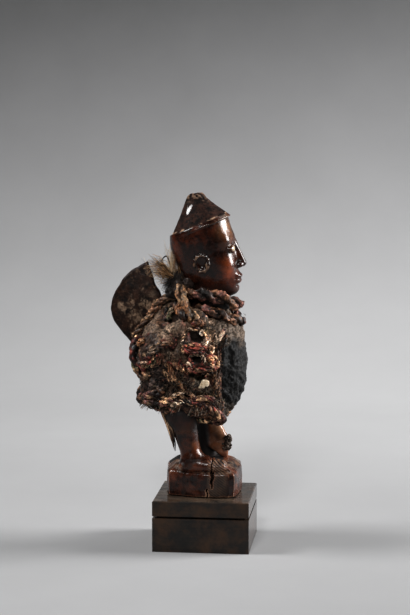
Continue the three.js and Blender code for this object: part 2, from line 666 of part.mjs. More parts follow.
// The hanging strip's outline, [x, z]: wide under the hem, down to a point
const STRIP_EDGE = [[-36.2, 114], [-31, 114], [-27.8, 104.7], [-26.1, 98.8], [-23.6, 92.4], [-22.9, 78],
  [-24.6, 82.9], [-28.2, 92.4], [-33.3, 107.3]];

function stripGeometry() {
  const [THICK, NEAR_Y] = [2.2, -13];
  const edge = STRIP_EDGE.map((p) => new THREE.Vector2(...p));
  const geometry = new THREE.ExtrudeGeometry(new THREE.Shape(edge), { depth: THICK, bevelEnabled: false });
  return geometry.rotateX(PI / 2).translate(0, NEAR_Y + THICK, 0);
}

function chipGeometry(place) {
  const CHIP_THICK = 1.4;
  const outline = new THREE.Shape();
  outline.moveTo(-4.9, -4.1);
  outline.quadraticCurveTo(0, -3.2, 3.4, -2);
  outline.quadraticCurveTo(5.4, 0.4, 4.2, 2.4);
  outline.quadraticCurveTo(0.4, 4.6, -1.4, 2.6);
  outline.closePath();
  const style = { depth: CHIP_THICK, curveSegments: 3, bevelEnabled: false };
  const geometry = new THREE.ExtrudeGeometry(outline, style);
  return geometry.rotateX(PI / 2).translate(...place);
}

const blob = (centre, radii) => new THREE.SphereGeometry(1, 10, 7).scale(...radii).translate(...centre);

// Assembly: hard and tight pieces keep their shape, and softer ones give way to them
const root = new THREE.Group();

const [ROUGH, MATT, SATIN, GLOSSY] = [0.88, 0.6, 0.5, 0.25];

function add(name, geometry, colour, roughness) {
  const material = new THREE.MeshStandardMaterial({ color: COLOURS[colour], roughness, metalness: 0 });
  const mesh = new THREE.Mesh(geometry, material);
  mesh.name = name;
  root.add(mesh);
  return geometry;
}

function build() {
  const rooms = [];
  const place = (name, geometry, colour, roughness, room = roomFor(geometry)) => {
    rooms.push(room);
    add(name, geometry, colour, roughness);
  };
  add('display_plinth', plinthGeometry(), 'plinth', SATIN);
  const eyes = [-1, 1].map(eyeGeometry);
  place('eye_inlay_right', eyes[0], 'eye', GLOSSY);
  place('eye_inlay_left', eyes[1], 'eye', GLOSSY);
  place('carved_figure', clearOf(figureGeometry(), rooms, 0.5, 3300), 'wood', GLOSSY);
  place('gourd_plate', plateGeometry(), 'gourd', MATT);

  const hard = (p) => min(bundleField(p), chargeField(p), packetField(p));
  const laid = [];
  const surface = (p) => min(hard(p), ...laid.map((field) => field(p)));
  const lay = (name, route, radius, colour, style) => {
    const flat = route[0].length === 2;
    const points = flat ? layOn(surface, route, radius + CLEAR) : route;
    laid.push(alongRoute(points, radius));
    const room = rope(points, (radius + ROOM_GAP) * HEX_OUT, ROOM_TWIST);
    place(name, clearOf(rope(points, radius, style), rooms), colour, ROUGH, toSolid(room));
  };
  lay('neck_rope', NECK_ROUTE, ROPE.neck, 'rope');
  lay('raffia_braid', BRAID_ROUTE, ROPE.braid, 'raffia');
  lay('back_rope', BACK_ROUTE, ROPE.back, 'rope');
  lay('elbow_rope_upper', LOOP_ROUTE, ROPE.loop, 'rope');
  lay('elbow_rope_lower', LOOP_LOW_ROUTE, ROPE.loop, 'rope');
  lay('arm_rope', ARM_ROUTE, ROPE.arm, 'rope');
  lay('waist_rope', WAIST_ROUTE, ROPE.waist, 'rope');
  lay('hip_rope_end', KNOB_ROUTE, ROPE.waist, 'rope');
  lay('tie_string', TIE_ROUTE, ROPE.tie, 'rope', { step: 2.4, turn: 0, lobes: THIN });
  lay('side_cord', SIDE_ROUTE, ROPE.cord, 'rope', { step: 4, turn: 0, lobes: THIN });
  lay('far_shoulder_rope', FAR_ROUTE, ROPE.arm, 'rope');

  const soft = (name, geometry, colour, count = 0) => {
    place(name, clearOf(geometry, rooms, FINE, count), colour, ROUGH);
  };
  const net = (field, count, ...grid) => lighten(meshField(field, ...grid), count, 1);
  soft('shin_charge', blob([16.4, 10, 79.7], [4.6, 4.8, 6.8]), 'resin');
  soft('fibre_tuft', blob([-33, -8, 225.5], [12.5, 5.4, 9.5]), 'fibre');
  soft('hair_tuft', blob([-26, -8, 209], [8.5, 6.5, 9.5]), 'hair');
  soft('hanging_strip', stripGeometry(), 'gourd');
  soft('shell_chip', chipGeometry(layOn(hard, [[-62, 136]], 1.6)[0]), 'shell');
  const cloth = net(bundleField, 640, lines(-60, 4, 30), lines(-40, 4, 40), lines(96, 4, 206));
  soft('cloth_wrap', cloth, 'cloth');
  const packet = net(packetField, 260, lines(-20, 2.6, 14), lines(-46, 2.6, -12), lines(140, 2.6, 182));
  soft('arm_packet', packet, 'cloth');
  const charge = net(chargeField, 300, lines(-20, 4, 40), lines(-30, 4, 30), lines(92, 4, 200));
  soft('belly_charge', charge, 'resin');
}

build();

export default root;
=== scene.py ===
import math

import bpy
import numpy as np
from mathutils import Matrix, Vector


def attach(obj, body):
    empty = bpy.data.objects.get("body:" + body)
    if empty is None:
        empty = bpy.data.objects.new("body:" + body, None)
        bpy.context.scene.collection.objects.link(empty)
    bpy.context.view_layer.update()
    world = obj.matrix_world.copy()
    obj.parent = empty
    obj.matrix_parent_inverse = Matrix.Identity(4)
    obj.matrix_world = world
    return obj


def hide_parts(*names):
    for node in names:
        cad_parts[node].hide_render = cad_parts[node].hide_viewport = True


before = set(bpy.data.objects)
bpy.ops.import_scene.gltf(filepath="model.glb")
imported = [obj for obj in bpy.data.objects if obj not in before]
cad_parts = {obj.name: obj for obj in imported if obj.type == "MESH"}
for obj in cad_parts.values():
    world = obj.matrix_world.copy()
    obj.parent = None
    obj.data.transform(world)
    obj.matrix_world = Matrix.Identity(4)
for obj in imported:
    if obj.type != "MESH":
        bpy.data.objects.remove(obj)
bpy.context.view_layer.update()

MM = 0.001
PI = math.pi

# Camera, at the viewing angle of the photograph
YAW = math.radians(6.2)
PITCH = math.radians(7.4)
EYE_AT = np.array([170.96, -1577.44, 397.57])
FOCAL_PX = 2000.0
FRAME_PX = (410, 615)
FORWARD = np.array([-math.sin(YAW) * math.cos(PITCH), math.cos(YAW) * math.cos(PITCH), -math.sin(PITCH)])
RIGHT = np.array([math.cos(YAW), math.sin(YAW), 0.0])
UP = np.cross(RIGHT, FORWARD)


def make_camera():
    data = bpy.data.cameras.new("photo_camera")
    data.lens = 36 * FOCAL_PX / FRAME_PX[1]
    data.clip_end = 20
    camera = bpy.data.objects.new("photo_camera", data)
    camera.location = EYE_AT * MM
    camera.rotation_euler = Vector(FORWARD).to_track_quat("-Z", "Y").to_euler()
    bpy.context.collection.objects.link(camera)
    bpy.context.scene.camera = camera


# Distance fields: how far points are outside a form, less than 0 inside it
def length(v):
    return np.sqrt((v * v).sum(-1))


def ellipsoid(p, centre, radii):
    q = p - np.array(centre, p.dtype)
    r = np.array(radii, p.dtype)
    near = length(q / r)
    return near * (near - 1) / np.maximum(length(q / r**2), 1e-9)


def limb(p, a, b, ra, rb):
    a, b = np.array(a, p.dtype), np.array(b, p.dtype)
    d = b - a
    t = np.clip((p - a) @ d / (d @ d), 0, 1)
    return length(p - a - t[..., None] * d) - (ra + (rb - ra) * t)


def pad(p, centre, half, rounding):
    q = np.abs(p - np.array(centre, p.dtype)) - np.array(half, p.dtype) + rounding
    return length(np.maximum(q, 0)) + np.minimum(q.max(-1), 0) - rounding


def blend(a, b, k):
    h = np.maximum(k - np.abs(a - b), 0) / k
    return np.minimum(a, b) - h * h * k / 4


def carve(a, b, k):
    return -blend(-a, b, k)


def smooth(low, high, v):
    t = np.clip((v - low) / (high - low), 0, 1)
    return t * t * (3 - 2 * t)


# Noise from hashed lattice points, between -1 and 1
def noise(p, scale, seed=0):
    q = np.asarray(p, np.float64) / scale + seed * 13.7
    cell = np.floor(q).astype(np.int64)
    f = q - cell
    f = f * f * (3 - 2 * f)
    total = 0
    for corner in range(8):
        step = np.array([corner & 1, (corner >> 1) & 1, corner >> 2])
        c = cell + step
        h = (c[..., 0] * 73856093) ^ (c[..., 1] * 19349663) ^ (c[..., 2] * 83492791) ^ (seed * 2654435)
        h = ((h ^ (h >> 13)) * 1274126177) & 0x7FFFFFFF
        h = ((h ^ (h >> 15)) * 668265263) & 0x7FFFFFFF
        weight = np.where(step == 1, f, 1 - f).prod(-1)
        total = total + weight * (h / 0x3FFFFFFF - 1)
    return total


def fractal(p, scale, octaves=4, seed=0, fall=0.5):
    total, size = 0, 1.0
    for n in range(octaves):
        total = total + size * noise(p, scale / 2**n, seed + 31 * n)
        size *= fall
    return total


def drift(p, scale, seed):
    """A wandering direction for each point"""
    return np.stack([noise(p, scale, seed + n) for n in range(3)], -1)


def patches(p, low, high, scale, octaves, seed):
    """1 inside a patch, 0 between patches"""
    return smooth(low, high, fractal(p, scale, octaves, seed))


def glow(p, centre, reach, power=2):
    """1 at a centre, fading out over its reach; a reach may differ along each axis"""
    return np.exp(-(((p - centre) / reach) ** power).sum(-1))


def over(under, colour, share):
    """A colour laid over another by a share for each vertex"""
    return np.array(under) * (1 - share[:, None]) + np.array(colour) * share[:, None]


def built(q, d, parts):
    """Balls and limbs blended onto a form, or carved from it, in turn: (blend or carve, softness, sizes...)"""
    for join, k, *sizes in parts:
        d = join(d, (ellipsoid if len(sizes) == 2 else limb)(q, *sizes), k)
    return d


# The carved man
BRIM = dict(x=-4.5, z=258.8, tilt=math.radians(22), long=24.2, wide=21.0)
CAP = dict(height=21.9, lean=3.6, inset=0.6, tip=6.4)
CHIN_Z = 202.0
HAIRLINE_Z = 266.0
THIRD = (HAIRLINE_Z - CHIN_Z) / 3
EYE = dict(x=22.6, y=9.2, z=HAIRLINE_Z - THIRD - 4.6)
EAR = dict(x=-0.8, y=19.6, z=228.6)


def brim_frame(p):
    dx, dz = p[..., 0] - BRIM["x"], p[..., 2] - BRIM["z"]
    c, s = math.cos(BRIM["tilt"]), math.sin(BRIM["tilt"])
    return dx * c + dz * s, p[..., 1], dz * c - dx * s


def cap_field(p):
    u, v, w = brim_frame(p)
    share = np.clip(w / CAP["height"], -0.1, 1)
    a, b = BRIM["long"] - CAP["inset"], BRIM["wide"] - CAP["inset"]
    shrink = 1 - share * (1 - CAP["tip"] / a) - 0.02 * np.sin(PI * np.maximum(share, 0))
    turn = np.arctan2(v, u)
    facets = 0.012 * np.cos(7 * turn + 1.0)
    side = (np.hypot((u - CAP["lean"] * share) / a, v / b) - shrink - facets) * b * 0.72
    d = np.maximum(np.maximum(side, w - CAP["height"]), -w - 3)
    return blend(d, ellipsoid(p, [-7.8, 0, 278.8], [7.0, 6.2, 4.4]), 2)


def face_field(q):
    return built(q, ellipsoid(q, [8, 0, 229], [17.6, 16.6, 27]), [
        (blend, 5, [13.5, 9.5, 226], [10, 8, 11]),
        (blend, 6, [20.0, 0, CHIN_Z + 5.8], [7.0, 8.5, 6.0]),
        (blend, 5, [19.6, 0, 216.4], [8.0, 9.5, 8.0]),
        (blend, 4, [17.5, 0, 246.5], [15, 11, 246], 5, 5)])


def feature_field(q, d):
    x, y, z = EYE["x"], EYE["y"], EYE["z"]
    d = built(q, d, [
        (carve, 2, [x + 4, y, z], [5.2, 6.6, 4.2]),
        (blend, 1.2, [x - 3, y, z], [4.4, 5.6, 3.2]),
        (blend, 3, [23, 0, 243.5], [29.4, 0, 228.2], 2.2, 3.3),
        (blend, 1.5, [27, 3.6, 226.6], [3.4, 2.6, 2.5]),
        (carve, 0.8, [28.2, 2.6, 224.2], [1.7, 1.1, 1.3]),
        (blend, 2, [25.6, 0, 218.0], [3.9, 7.2, 2.2]),
        (carve, 1.2, [30.4, 0, 220.6], [2.0, 1.2, 2.6]),
        (blend, 2, [25.2, 0, 214.0], [3.7, 6.4, 2.3]),
        (carve, 0.8, [29.3, 0, 216.1], [24.4, 7.6, 215.6], 0.35, 0.3),
        (carve, 2, [27.2, 0, 210.6], [25, 4.5, 210.9], 0.9, 0.6)])
    # Eyelids: two arched rims round the almond of the inlay
    half = 4.9
    for side, lift in ((1, 3.2), (-1, 2.6)):
        rim = [[x - 0.1 + 0.9 * math.sin(t) - 0.24 * max(0, -half * math.cos(t)), y - half * math.cos(t),
                z + side * lift * math.sin(t)] for t in (PI * n / 4 for n in range(5))]
        d = built(q, d, [(blend, 0.7, a, b, 0.75, 0.75) for a, b in zip(rim, rim[1:])])
    return d


def ear_field(q):
    x, y, z = EAR["x"], EAR["y"], EAR["z"]
    rim = [[x - 0.4 - 5.6 * math.cos(t + 0.5), y + 0.4, z + 6.6 * math.sin(t + 0.5)]
           for t in (math.radians(-40 + 290 * n / 9) for n in range(10))]
    d = ellipsoid(q, [x, y - 1.4, z], [6.2, 2.6, 7.2])
    d = built(q, d, [(blend, 0.8, a, b, 1.3, 1.3) for a, b in zip(rim, rim[1:])])
    return built(q, d, [(carve, 1, [x + 0.4, y + 2.2, z + 0.4], [4.2, 3.6, 5.2]),
                        (blend, 1, [x + 4.2, y + 0.4, z - 1.2], [1.5, 1.4, 2.2])])


def head_field(p):
    q = p.copy()
    q[..., 1] = np.abs(p[..., 1])
    d = ellipsoid(q, [-4, 0, 248], [24.6, 21.6, 37])
    d = blend(d, ellipsoid(q, [-7.5, 0, 222], [11.5, 12, 13]), 7)
    d = blend(d, face_field(q), 8)
    d = feature_field(q, d)
    d = -blend(-d, -brim_frame(p)[2], 0.8)
    d = blend(d, ear_field(q), 1.0)
    long, wide = 16, 11.2
    neck = np.hypot((p[..., 0] - 3.5) / long, p[..., 1] / wide) * wide - wide
    neck = np.maximum(np.maximum(neck, 190 - p[..., 2]), p[..., 2] - 224)
    d = blend(d, neck, 3)
    return blend(d, cap_field(p), 0.7)


# The far leg: places down its middle line and its radius there, flattened sideways
FAR_LEG_Y, FAR_LEG_FLAT = 12, 1.7
FAR_LEG = [((3.0, 12, 107), 7.4), ((4.4, 12, 95), 6.0), ((6.6, 12, 88), 7.4), ((8.9, 12, 81), 8.8),
           ((12.2, 12, 74), 5.0), ((16.2, 12.5, 66), 1.6)]


def toe_lines(p):
    """The slanting grooves cut for toes: 1 in a groove, 0 between them"""
    toes = np.abs(((p[..., 2] + 0.75 * p[..., 0]) / 2.1) % 1 - 0.5) * 2
    return smooth(3, 6, p[..., 0]) * smooth(21, 17, p[..., 0]) * (1 - toes) ** 2


def leg_field(p):
    near = np.minimum(limb(p, [-18.5, -12.5, 108], [-14.6, -13, 93], 12.4, 9.7),
                      limb(p, [-14.6, -13, 93], [-10, -13.5, 75], 9.7, 7.9))
    near = blend(near, ellipsoid(p, [-21, -13, 106], [9, 10, 9]), 4)
    sole = pad(p, [-0.5, -14.6, 65.4], [18.8, 7.6, 3.4], 3.2)
    foot = blend(sole, limb(p, [-9, -14, 69.4], [13, -14.6, 65.2], 8.3, 4.4), 6)
    foot = foot + toe_lines(p) * 0.8
    split = np.abs(p[..., 0] - 7.2 - 0.25 * np.sin(p[..., 2])) - 0.45
    foot = np.maximum(foot, -np.maximum(split, p[..., 1] + 13))
    far = 1e3
    flat = p.copy()
    flat[..., 1] = FAR_LEG_Y + (p[..., 1] - FAR_LEG_Y) * FAR_LEG_FLAT
    for (a, ra), (b, rb) in zip(FAR_LEG, FAR_LEG[1:]):
        far = blend(far, limb(flat, a, b, ra, rb), 1.5)
    far = blend(far, limb(p, [-3, 20, 104], [0, 20, 66], 9, 8), 2.5)
    far = np.minimum(far, limb(p, [3, 20, 65.5], [13, 19, 65], 4.6, 3.6))
    return np.minimum(blend(near, foot, 5), far)


BLOCK_PLAN = [(-30, -12), (-27.5, -17), (-14, -21), (0, -24), (12, -24.4), (21, -23.5), (25.5, -21), (26.8, -16),
              (29, 9), (27.5, 19), (18, 26), (-22, 25), (-30, 21), (-32.5, 12)]


def block_field(p):
    plan = np.array(BLOCK_PLAN, p.dtype)
    x, y, z = p[..., 0], p[..., 1], p[..., 2]
    inside = np.full(x.shape, -1e3, p.dtype)
    for a, b in zip(plan, np.roll(plan, -1, 0)):
        edge = b - a
        normal = np.array([edge[1], -edge[0]]) / np.hypot(*edge)
        inside = np.maximum(inside, (x - a[0]) * normal[0] + (y - a[1]) * normal[1])
    waist = 0.9 * np.cos((z - 51) / 9.5 * PI / 2)
    side = inside + 0.5 - waist * 0.4
    top = z - (60.6 + 0.075 * (y + 24) + 4.6 * smooth(0, 9, -inside))
    d = -blend(-side, -top, 2.2)
    under = 41.0 + 1.6 * smooth(-3.5, 0.5, inside) ** 2
    d = np.maximum(d, under - z)
    crack_x = 7.4 + 0.06 * (z - 50) + 0.5 * np.sin(z * 0.9) + np.where(z < 49, -3.2, 0)
    wide = np.where(z < 49, 0.45, 0.55 + 0.07 * np.maximum(z - 50, 0))
    crack = np.maximum(np.abs(x - crack_x) - wide * smooth(-14, -20, y) * 1.1, y + 15.5)
    return np.maximum(d, -crack)


# What is tied round him
COLLAR = dict(x=10.0, z=183.0, radius=22.5, fall=0.23)
BODY_X = -14  # the upright axis that places round the body are counted from


def bundle_field(p):
    chest = p.copy()
    chest[..., 2] = p[..., 2] - 6 * smooth(-22, -46, p[..., 0]) * smooth(150, 112, p[..., 2])
    d = pad(chest, [-17, 0, 144], [32, 27, 38], 13)
    for side in (-1, 1):
        d = blend(d, limb(p, [-6, side * 20, 182], [-36, side * 21, 158], 10.5, 12), 6)
    d = blend(d, limb(p, [-36, -21, 158], [-8, -24, 132], 11, 10), 8)
    d = blend(d, limb(p, [-26, 0, 184], [10, 0, 184], 15, 16), 8)
    skirt = p.copy()
    skirt[..., 2] = p[..., 2] + 2 - 15 * smooth(12, -30, p[..., 0])
    d = blend(d, pad(skirt, [-13, 0, 114], [30, 28, 10], 9), 6)
    x = p[..., 0] - COLLAR["x"]
    collar = np.maximum(np.hypot(x, p[..., 1]) - COLLAR["radius"], COLLAR["z"] - x * COLLAR["fall"] - p[..., 2])
    return carve(d, collar, 3)


def charge_field(p):
    d = ellipsoid(p, [9.2, 0, 147.5], [23.6, 20, 45.3])
    return blend(d, ellipsoid(p, [11, 0, 170], [16.5, 24, 17]), 6)


def packet_field(p):
    upper = limb(p, [-5, -24, 168], [-5, -35.5, 168], 9, 7.6)
    return np.minimum(upper, ellipsoid(p, [-1, -31, 152], [10, 8, 7.6]))


def skin_field(p):
    return np.minimum(np.minimum(bundle_field(p), charge_field(p)), packet_field(p))


def dressed_field(p):
    """The skin with the larger humps and hollows of the near side"""
    d = skin_field(p)
    for place, (_, _, reach, height) in zip(HUMP_PLACES, HUMPS):
        d = d - glow(p, place, reach) * min(height, 1.5)
    return d


# Surface nets: one vertex in each cell that the surface crosses, then moved onto the surface
def surface(field, low, high, step):
    axes = [np.arange(a - 2 * step, b + 2.5 * step, step, dtype=np.float32) for a, b in zip(low, high)]
    grid = np.stack(np.meshgrid(*axes, indexing="ij"), -1)
    v = field(grid).astype(np.float32)
    v[v == 0] = 1e-6
    cells = tuple(n - 1 for n in v.shape)
    total = np.zeros(cells + (3,), np.float32)
    count = np.zeros(cells, np.float32)
    crossings = []
    for a in range(3):
        b, c = [n for n in range(3) if n != a]
        low_end, high_end = [slice(None)] * 3, [slice(None)] * 3
        low_end[a], high_end[a] = slice(0, -1), slice(1, None)
        v0, v1 = v[tuple(low_end)], v[tuple(high_end)]
        cross = (v0 < 0) != (v1 < 0)
        place = grid[tuple(low_end)].copy()
        place[..., a] += np.where(cross, v0 / (v0 - v1 + (v0 == v1)), 0) * step
        for db in (0, 1):
            for dc in (0, 1):
                part = [slice(None)] * 3
                part[b] = slice(db, v.shape[b] - 1 + db)
                part[c] = slice(dc, v.shape[c] - 1 + dc)
                hit = cross[tuple(part)]
                total[hit] += place[tuple(part)][hit]
                count[hit] += 1
        crossings.append((a, b, c, cross, v0 < 0))
    made = count > 0
    number = np.full(cells, -1, np.int64)
    number[made] = np.arange(made.sum())
    verts = (total[made] / count[made][:, None]).astype(np.float64)
    quads = []
    for a, b, c, cross, solid in crossings:
        part = [slice(None)] * 3
        part[b], part[c] = slice(1, -1), slice(1, -1)
        where = np.argwhere(cross[tuple(part)])
        where[:, b] += 1
        where[:, c] += 1
        ring = []
        for db, dc in ((1, 1), (0, 1), (0, 0), (1, 0)):
            cell = where.copy()
            cell[:, b] -= db
            cell[:, c] -= dc
            ring.append(number[tuple(cell.T)])
        quad = np.stack(ring, 1)
        flip = ~solid[tuple(where.T)] ^ (a == 1)
        quad[flip] = quad[flip][:, ::-1]
        quads.append(quad)
    for _ in range(2):
        verts = verts - np.clip(field(verts)[:, None] * slope(field, verts), -0.5 * step, 0.5 * step)
    return verts, np.concatenate(quads)


def slope(field, p, e=0.05):
    g = np.zeros_like(p)
    for n in range(3):
        step = np.zeros(3)
        step[n] = e
        g[:, n] = (field(p + step) - field(p - step)) / (2 * e)
    return g / np.maximum((g * g).sum(1, keepdims=True), 0.2)


def unit(v):
    return v / np.maximum(length(v)[..., None], 1e-9)


def vertex_normals(verts, faces):
    n = np.zeros_like(verts)
    a, b = verts[faces[:, 2]] - verts[faces[:, 0]], verts[faces[:, 3]] - verts[faces[:, 1]]
    f = np.cross(a, b)
    for k in range(4):
        np.add.at(n, faces[:, k], f)
    return unit(n)


def hollows(verts, faces, rounds=3):
    """How far each vertex lies under its neighbours' level, more than 0 in a hollow"""
    n = vertex_normals(verts, faces)
    level = verts
    for _ in range(rounds):
        total, count = np.zeros_like(verts), np.zeros(len(verts))
        for k in range(4):
            for other in (1, 3):
                np.add.at(total, faces[:, k], level[faces[:, (k + other) % 4]])
                np.add.at(count, faces[:, k], 1)
        level = total / np.maximum(count, 1)[:, None]
    return ((level - verts) * n).sum(1)


# Meshes
def piece(name, made, material, nodes):
    """A visible piece from (verts, faces, tint); it replaces the nodes that it is named for"""
    verts, faces, tint = made
    mesh = bpy.data.meshes.new(name)
    mesh.from_pydata(verts * MM, [], [f[:3] if f[2] == f[3] else f for f in faces.tolist()], shade_flat=False)
    layer = mesh.color_attributes.new("tint", "FLOAT_COLOR", "POINT")
    rgba = np.concatenate([np.clip(tint, 0, 1), np.ones((len(tint), 1))], 1)
    layer.data.foreach_set("color", rgba.astype(np.float32).ravel())
    mesh.materials.append(material)
    thing = bpy.data.objects.new(name, mesh)
    bpy.context.collection.objects.link(thing)
    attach(thing, "root")
    if nodes:
        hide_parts(*nodes)
    return thing


def joined(parts):
    """Several (verts, faces, tint) as one; triangles come as quads that name their last vertex twice"""
    verts, faces, tints, start = [], [], [], 0
    for v, f, t in parts:
        verts.append(v)
        faces.append(f + start)
        tints.append(t)
        start += len(v)
    return np.concatenate(verts), np.concatenate(faces), np.concatenate(tints)


# Paths and tubes
def resample(points, step):
    """An even Catmull-Rom run through the points"""
    p = np.asarray(points, float)
    p = np.concatenate([2 * p[:1] - p[1:2], p, 2 * p[-1:] - p[-2:-1]])
    t = np.linspace(0, 1, 24, endpoint=False)[:, None]
    run = [0.5 * (2 * b + (c - a) * t + (2 * a - 5 * b + 4 * c - d) * t**2 + (3 * b - a - 3 * c + d) * t**3)
           for a, b, c, d in zip(p, p[1:], p[2:], p[3:])]
    run = np.concatenate(run + [p[-2:-1]])
    s = np.concatenate([[0], np.cumsum(length(np.diff(run, axis=0)))])
    at = np.linspace(0, s[-1], max(4, int(round(s[-1] / step)) + 1))
    return along_path(run, s, at)


def along_path(run, s, at):
    """Places on a run whose points lie at s, where s equals at"""
    return np.stack([np.interp(at, s, run[:, n]) for n in range(3)], 1)


def frames(path):
    """Unit tangent and two sideways directions that turn as little as they can along the path"""
    t = unit(np.gradient(path, axis=0))
    ref = np.cross(t[0], [0.3, 0.2, 1.0])
    n = np.zeros_like(path)
    for k in range(len(path)):
        ref = ref - t[k] * (ref @ t[k])
        ref = ref / max(math.sqrt(ref @ ref), 1e-9)
        n[k] = ref
    return t, n, np.cross(t, n)


def ring_faces(runs, rings, sides):
    m, k, s = np.meshgrid(np.arange(runs), np.arange(rings - 1), np.arange(sides), indexing="ij")
    a = (m * rings + k) * sides + s
    b = (m * rings + k) * sides + (s + 1) % sides
    return np.stack([a, b, b + sides, a + sides], -1).reshape(-1, 4)


def around(n, b, sides):
    """Directions to the corners of a ring, from the two sideways directions at each point"""
    angle = 2 * PI * np.arange(sides) / sides
    return np.cos(angle)[:, None] * n[..., None, :] + np.sin(angle)[:, None] * b[..., None, :]


def fan(a, b, tip):
    """Triangles between each pair of a ring's corners and a tip"""
    return np.stack([a, b, 0 * a + tip, 0 * a + tip], 1)


def tubes(paths, radii, sides=4):
    """Many tubes of as many points each; radii fit (runs, points)"""
    t = unit(np.gradient(paths, axis=1))
    n = unit(np.cross(t, [0.31, 0.17, 0.93]))
    verts = paths[:, :, None, :] + radii[:, :, None, None] * around(n, np.cross(t, n), sides)
    return verts.reshape(-1, 3), ring_faces(paths.shape[0], paths.shape[1], sides)


def twisted(points, radius, colours, strands=3, turns_per_mm=0.045, sides=12, fray=0.12, seed=0, loose=0.0,
            clean=0.0, grain=0.15):
    """A rope of strands that wind round each other, each ridged by its own fibres"""
    step = max(0.42, radius * 0.13)
    path = resample(points, step)
    count = len(path)
    s = np.arange(count) * step
    along = np.stack([s, 0 * s, 0 * s], 1)
    path = path + 0.45 * drift(path, 6.0, seed)
    t, n, b = frames(path)
    swell = 1 + 0.16 * noise(along, 4.5, seed) + 0.10 * noise(along, 1.8, seed + 1)
    end = np.minimum(smooth(-0.2, 2.6, s), smooth(-0.2, 2.6, s[-1] - s))
    core = radius * (0.46 if strands == 2 else 0.52)
    thick = radius * (0.56 if strands == 2 else 0.50)
    angle = 2 * PI * np.arange(sides) / sides
    a = np.arange(sides)
    nxt, top, first = (a + 1) % sides, (count - 1) * sides, count * sides
    faces = np.concatenate([ring_faces(1, count, sides), fan(nxt, a, first), fan(top + a, top + nxt, first + 1)])
    parts = []
    for k in range(strands):
        wander = 0.9 * noise(along + [0, 40 * k, 0], 7.0, seed + 5)
        phase = 2 * PI * (s * turns_per_mm * 3.4 / radius + k / strands) + wander
        ease = (core * (0.35 + 0.65 * end) * swell)[:, None]
        line = path + ease * (np.cos(phase)[:, None] * n + np.sin(phase)[:, None] * b)
        line = line + loose * drift(line, 4.0, seed + 60 + k)
        out = around(*frames(line)[1:], sides)
        yarn = 4 * angle[None, :] + 1.1 * s[:, None] / radius * 3 + k
        ridge = 1 + 0.15 * np.cos(yarn) + 0.06 * np.cos(7 * angle[None, :] - 1.7 * s[:, None])
        r = thick * (0.25 + 0.75 * end) * swell * (1 + 0.12 * noise(along + [0, 0, 30 * k], 2.2, seed + 3))
        verts = line[:, None, :] + (r[:, None] * ridge)[..., None] * out
        rough = fray * (1.4 * noise(verts, 2.2, seed + 8) + noise(verts, 0.9, seed + 9))
        knobs = noise(verts, 1.5, seed + 10) + 0.5 * noise(verts, 0.8, seed + 11)
        verts = verts + out * (rough + grain * knobs)[..., None]
        flat = np.concatenate([verts.reshape(-1, 3), line[[0, -1]]])
        # The colour: two of the dyes in turn, with painted shade in the grooves and between the strands, painted shade
        # and highlight on the knobs, and darker under grime
        base = over(colours[k % len(colours)], colours[(k + 1) % len(colours)],
                    smooth(-0.3, 0.3, noise(flat, 6.0, seed + 3 * k)))
        groove = np.concatenate([(0.62 + 0.38 * np.cos(yarn)).ravel(), [0.3, 0.3]])
        shade = (1 + 0.75 * noise(flat, 1.2, seed + 77)) * (0.35 + 0.95 * groove)
        shade = shade * (1 + 0.9 * smooth(0.45, 0.8, noise(flat, 1.7, seed + 78)))
        shade = shade * (0.55 + 1.1 * smooth(-0.5, 0.9, np.concatenate([knobs.ravel(), [-1, -1]])))
        centre = np.concatenate([np.repeat(path, sides, 0), path[[0, -1]]])
        shade = shade * (0.18 + 0.82 * smooth(0.5 * radius, 1.0 * radius, length(flat - centre)))
        parts.append((flat, faces, base * (shade * grime(flat, clean))[:, None]))
    return joined(parts)


def grime(p, clean):
    """Old grime and soot: patches that darken whatever is tied on"""
    return clean + (1 - clean) * (0.16 + 1.0 * patches(p, -0.45, 0.35, 7.0, 3, 404))


def whiskers(points, radius, count, colours, size, thick, seed, aim=0.8):
    """Broken fibres that stand off a rope"""
    local = np.random.default_rng(seed)
    path = resample(points, 0.5)
    t, n, b = frames(path)
    at = local.integers(0, len(path), count)
    turn = local.uniform(0, 2 * PI, count)[:, None]
    out = np.cos(turn) * n[at] + np.sin(turn) * b[at]
    heads = out * aim + t[at] * local.choice([-1, 1], (count, 1)) + local.normal(0, 0.3, (count, 3))
    return fibres(path[at] + out * radius * 0.75, heads, size, thick, colours, seed + 1)


def fibres(starts, heads, size, thick, colours, seed):
    """Loose fibres: each leaves its start along its head and wanders as it goes"""
    steps, bend, sides = 5, 0.9, 3
    count = len(starts)
    local = np.random.default_rng(seed)
    sizes = size * local.uniform(0.45, 1.25, count)
    curl = local.normal(0, bend, (count, 3))
    run = [np.array(starts, float)]
    head = unit(np.array(heads, float))
    for k in range(steps):
        head = unit(head + curl / steps + local.normal(0, bend * 0.35, (count, 3)) / steps ** 0.5)
        run.append(run[-1] + head * (sizes / steps)[:, None])
    paths = np.stack(run, 1)
    taper = np.linspace(1, 0.25, steps + 1)[None, :] * thick * local.uniform(0.6, 1.3, count)[:, None]
    verts, faces = tubes(paths, taper, sides)
    pick = np.array(colours)[local.integers(0, len(colours), count)] * local.uniform(0.6, 1.25, (count, 1))
    return verts, faces, np.repeat(pick, (steps + 1) * sides, 0)


def crawl(field, starts, heads, steps, stride, lift, wander, seed):
    """Lines that creep over a surface: (count, steps + 1, 3)"""
    local = np.random.default_rng(seed)
    at, head, run = np.array(starts, float), unit(np.array(heads, float)), []
    for k in range(steps + 1):
        for _ in range(2):
            at = at - np.clip((field(at) - lift)[:, None] * slope(field, at), -3, 3)
        run.append(at)
        out = unit(slope(field, at))
        head = head + local.normal(0, wander, at.shape)
        head = unit(head - out * (head * out).sum(1, keepdims=True))
        at = at + head * stride
    return np.stack(run, 1)


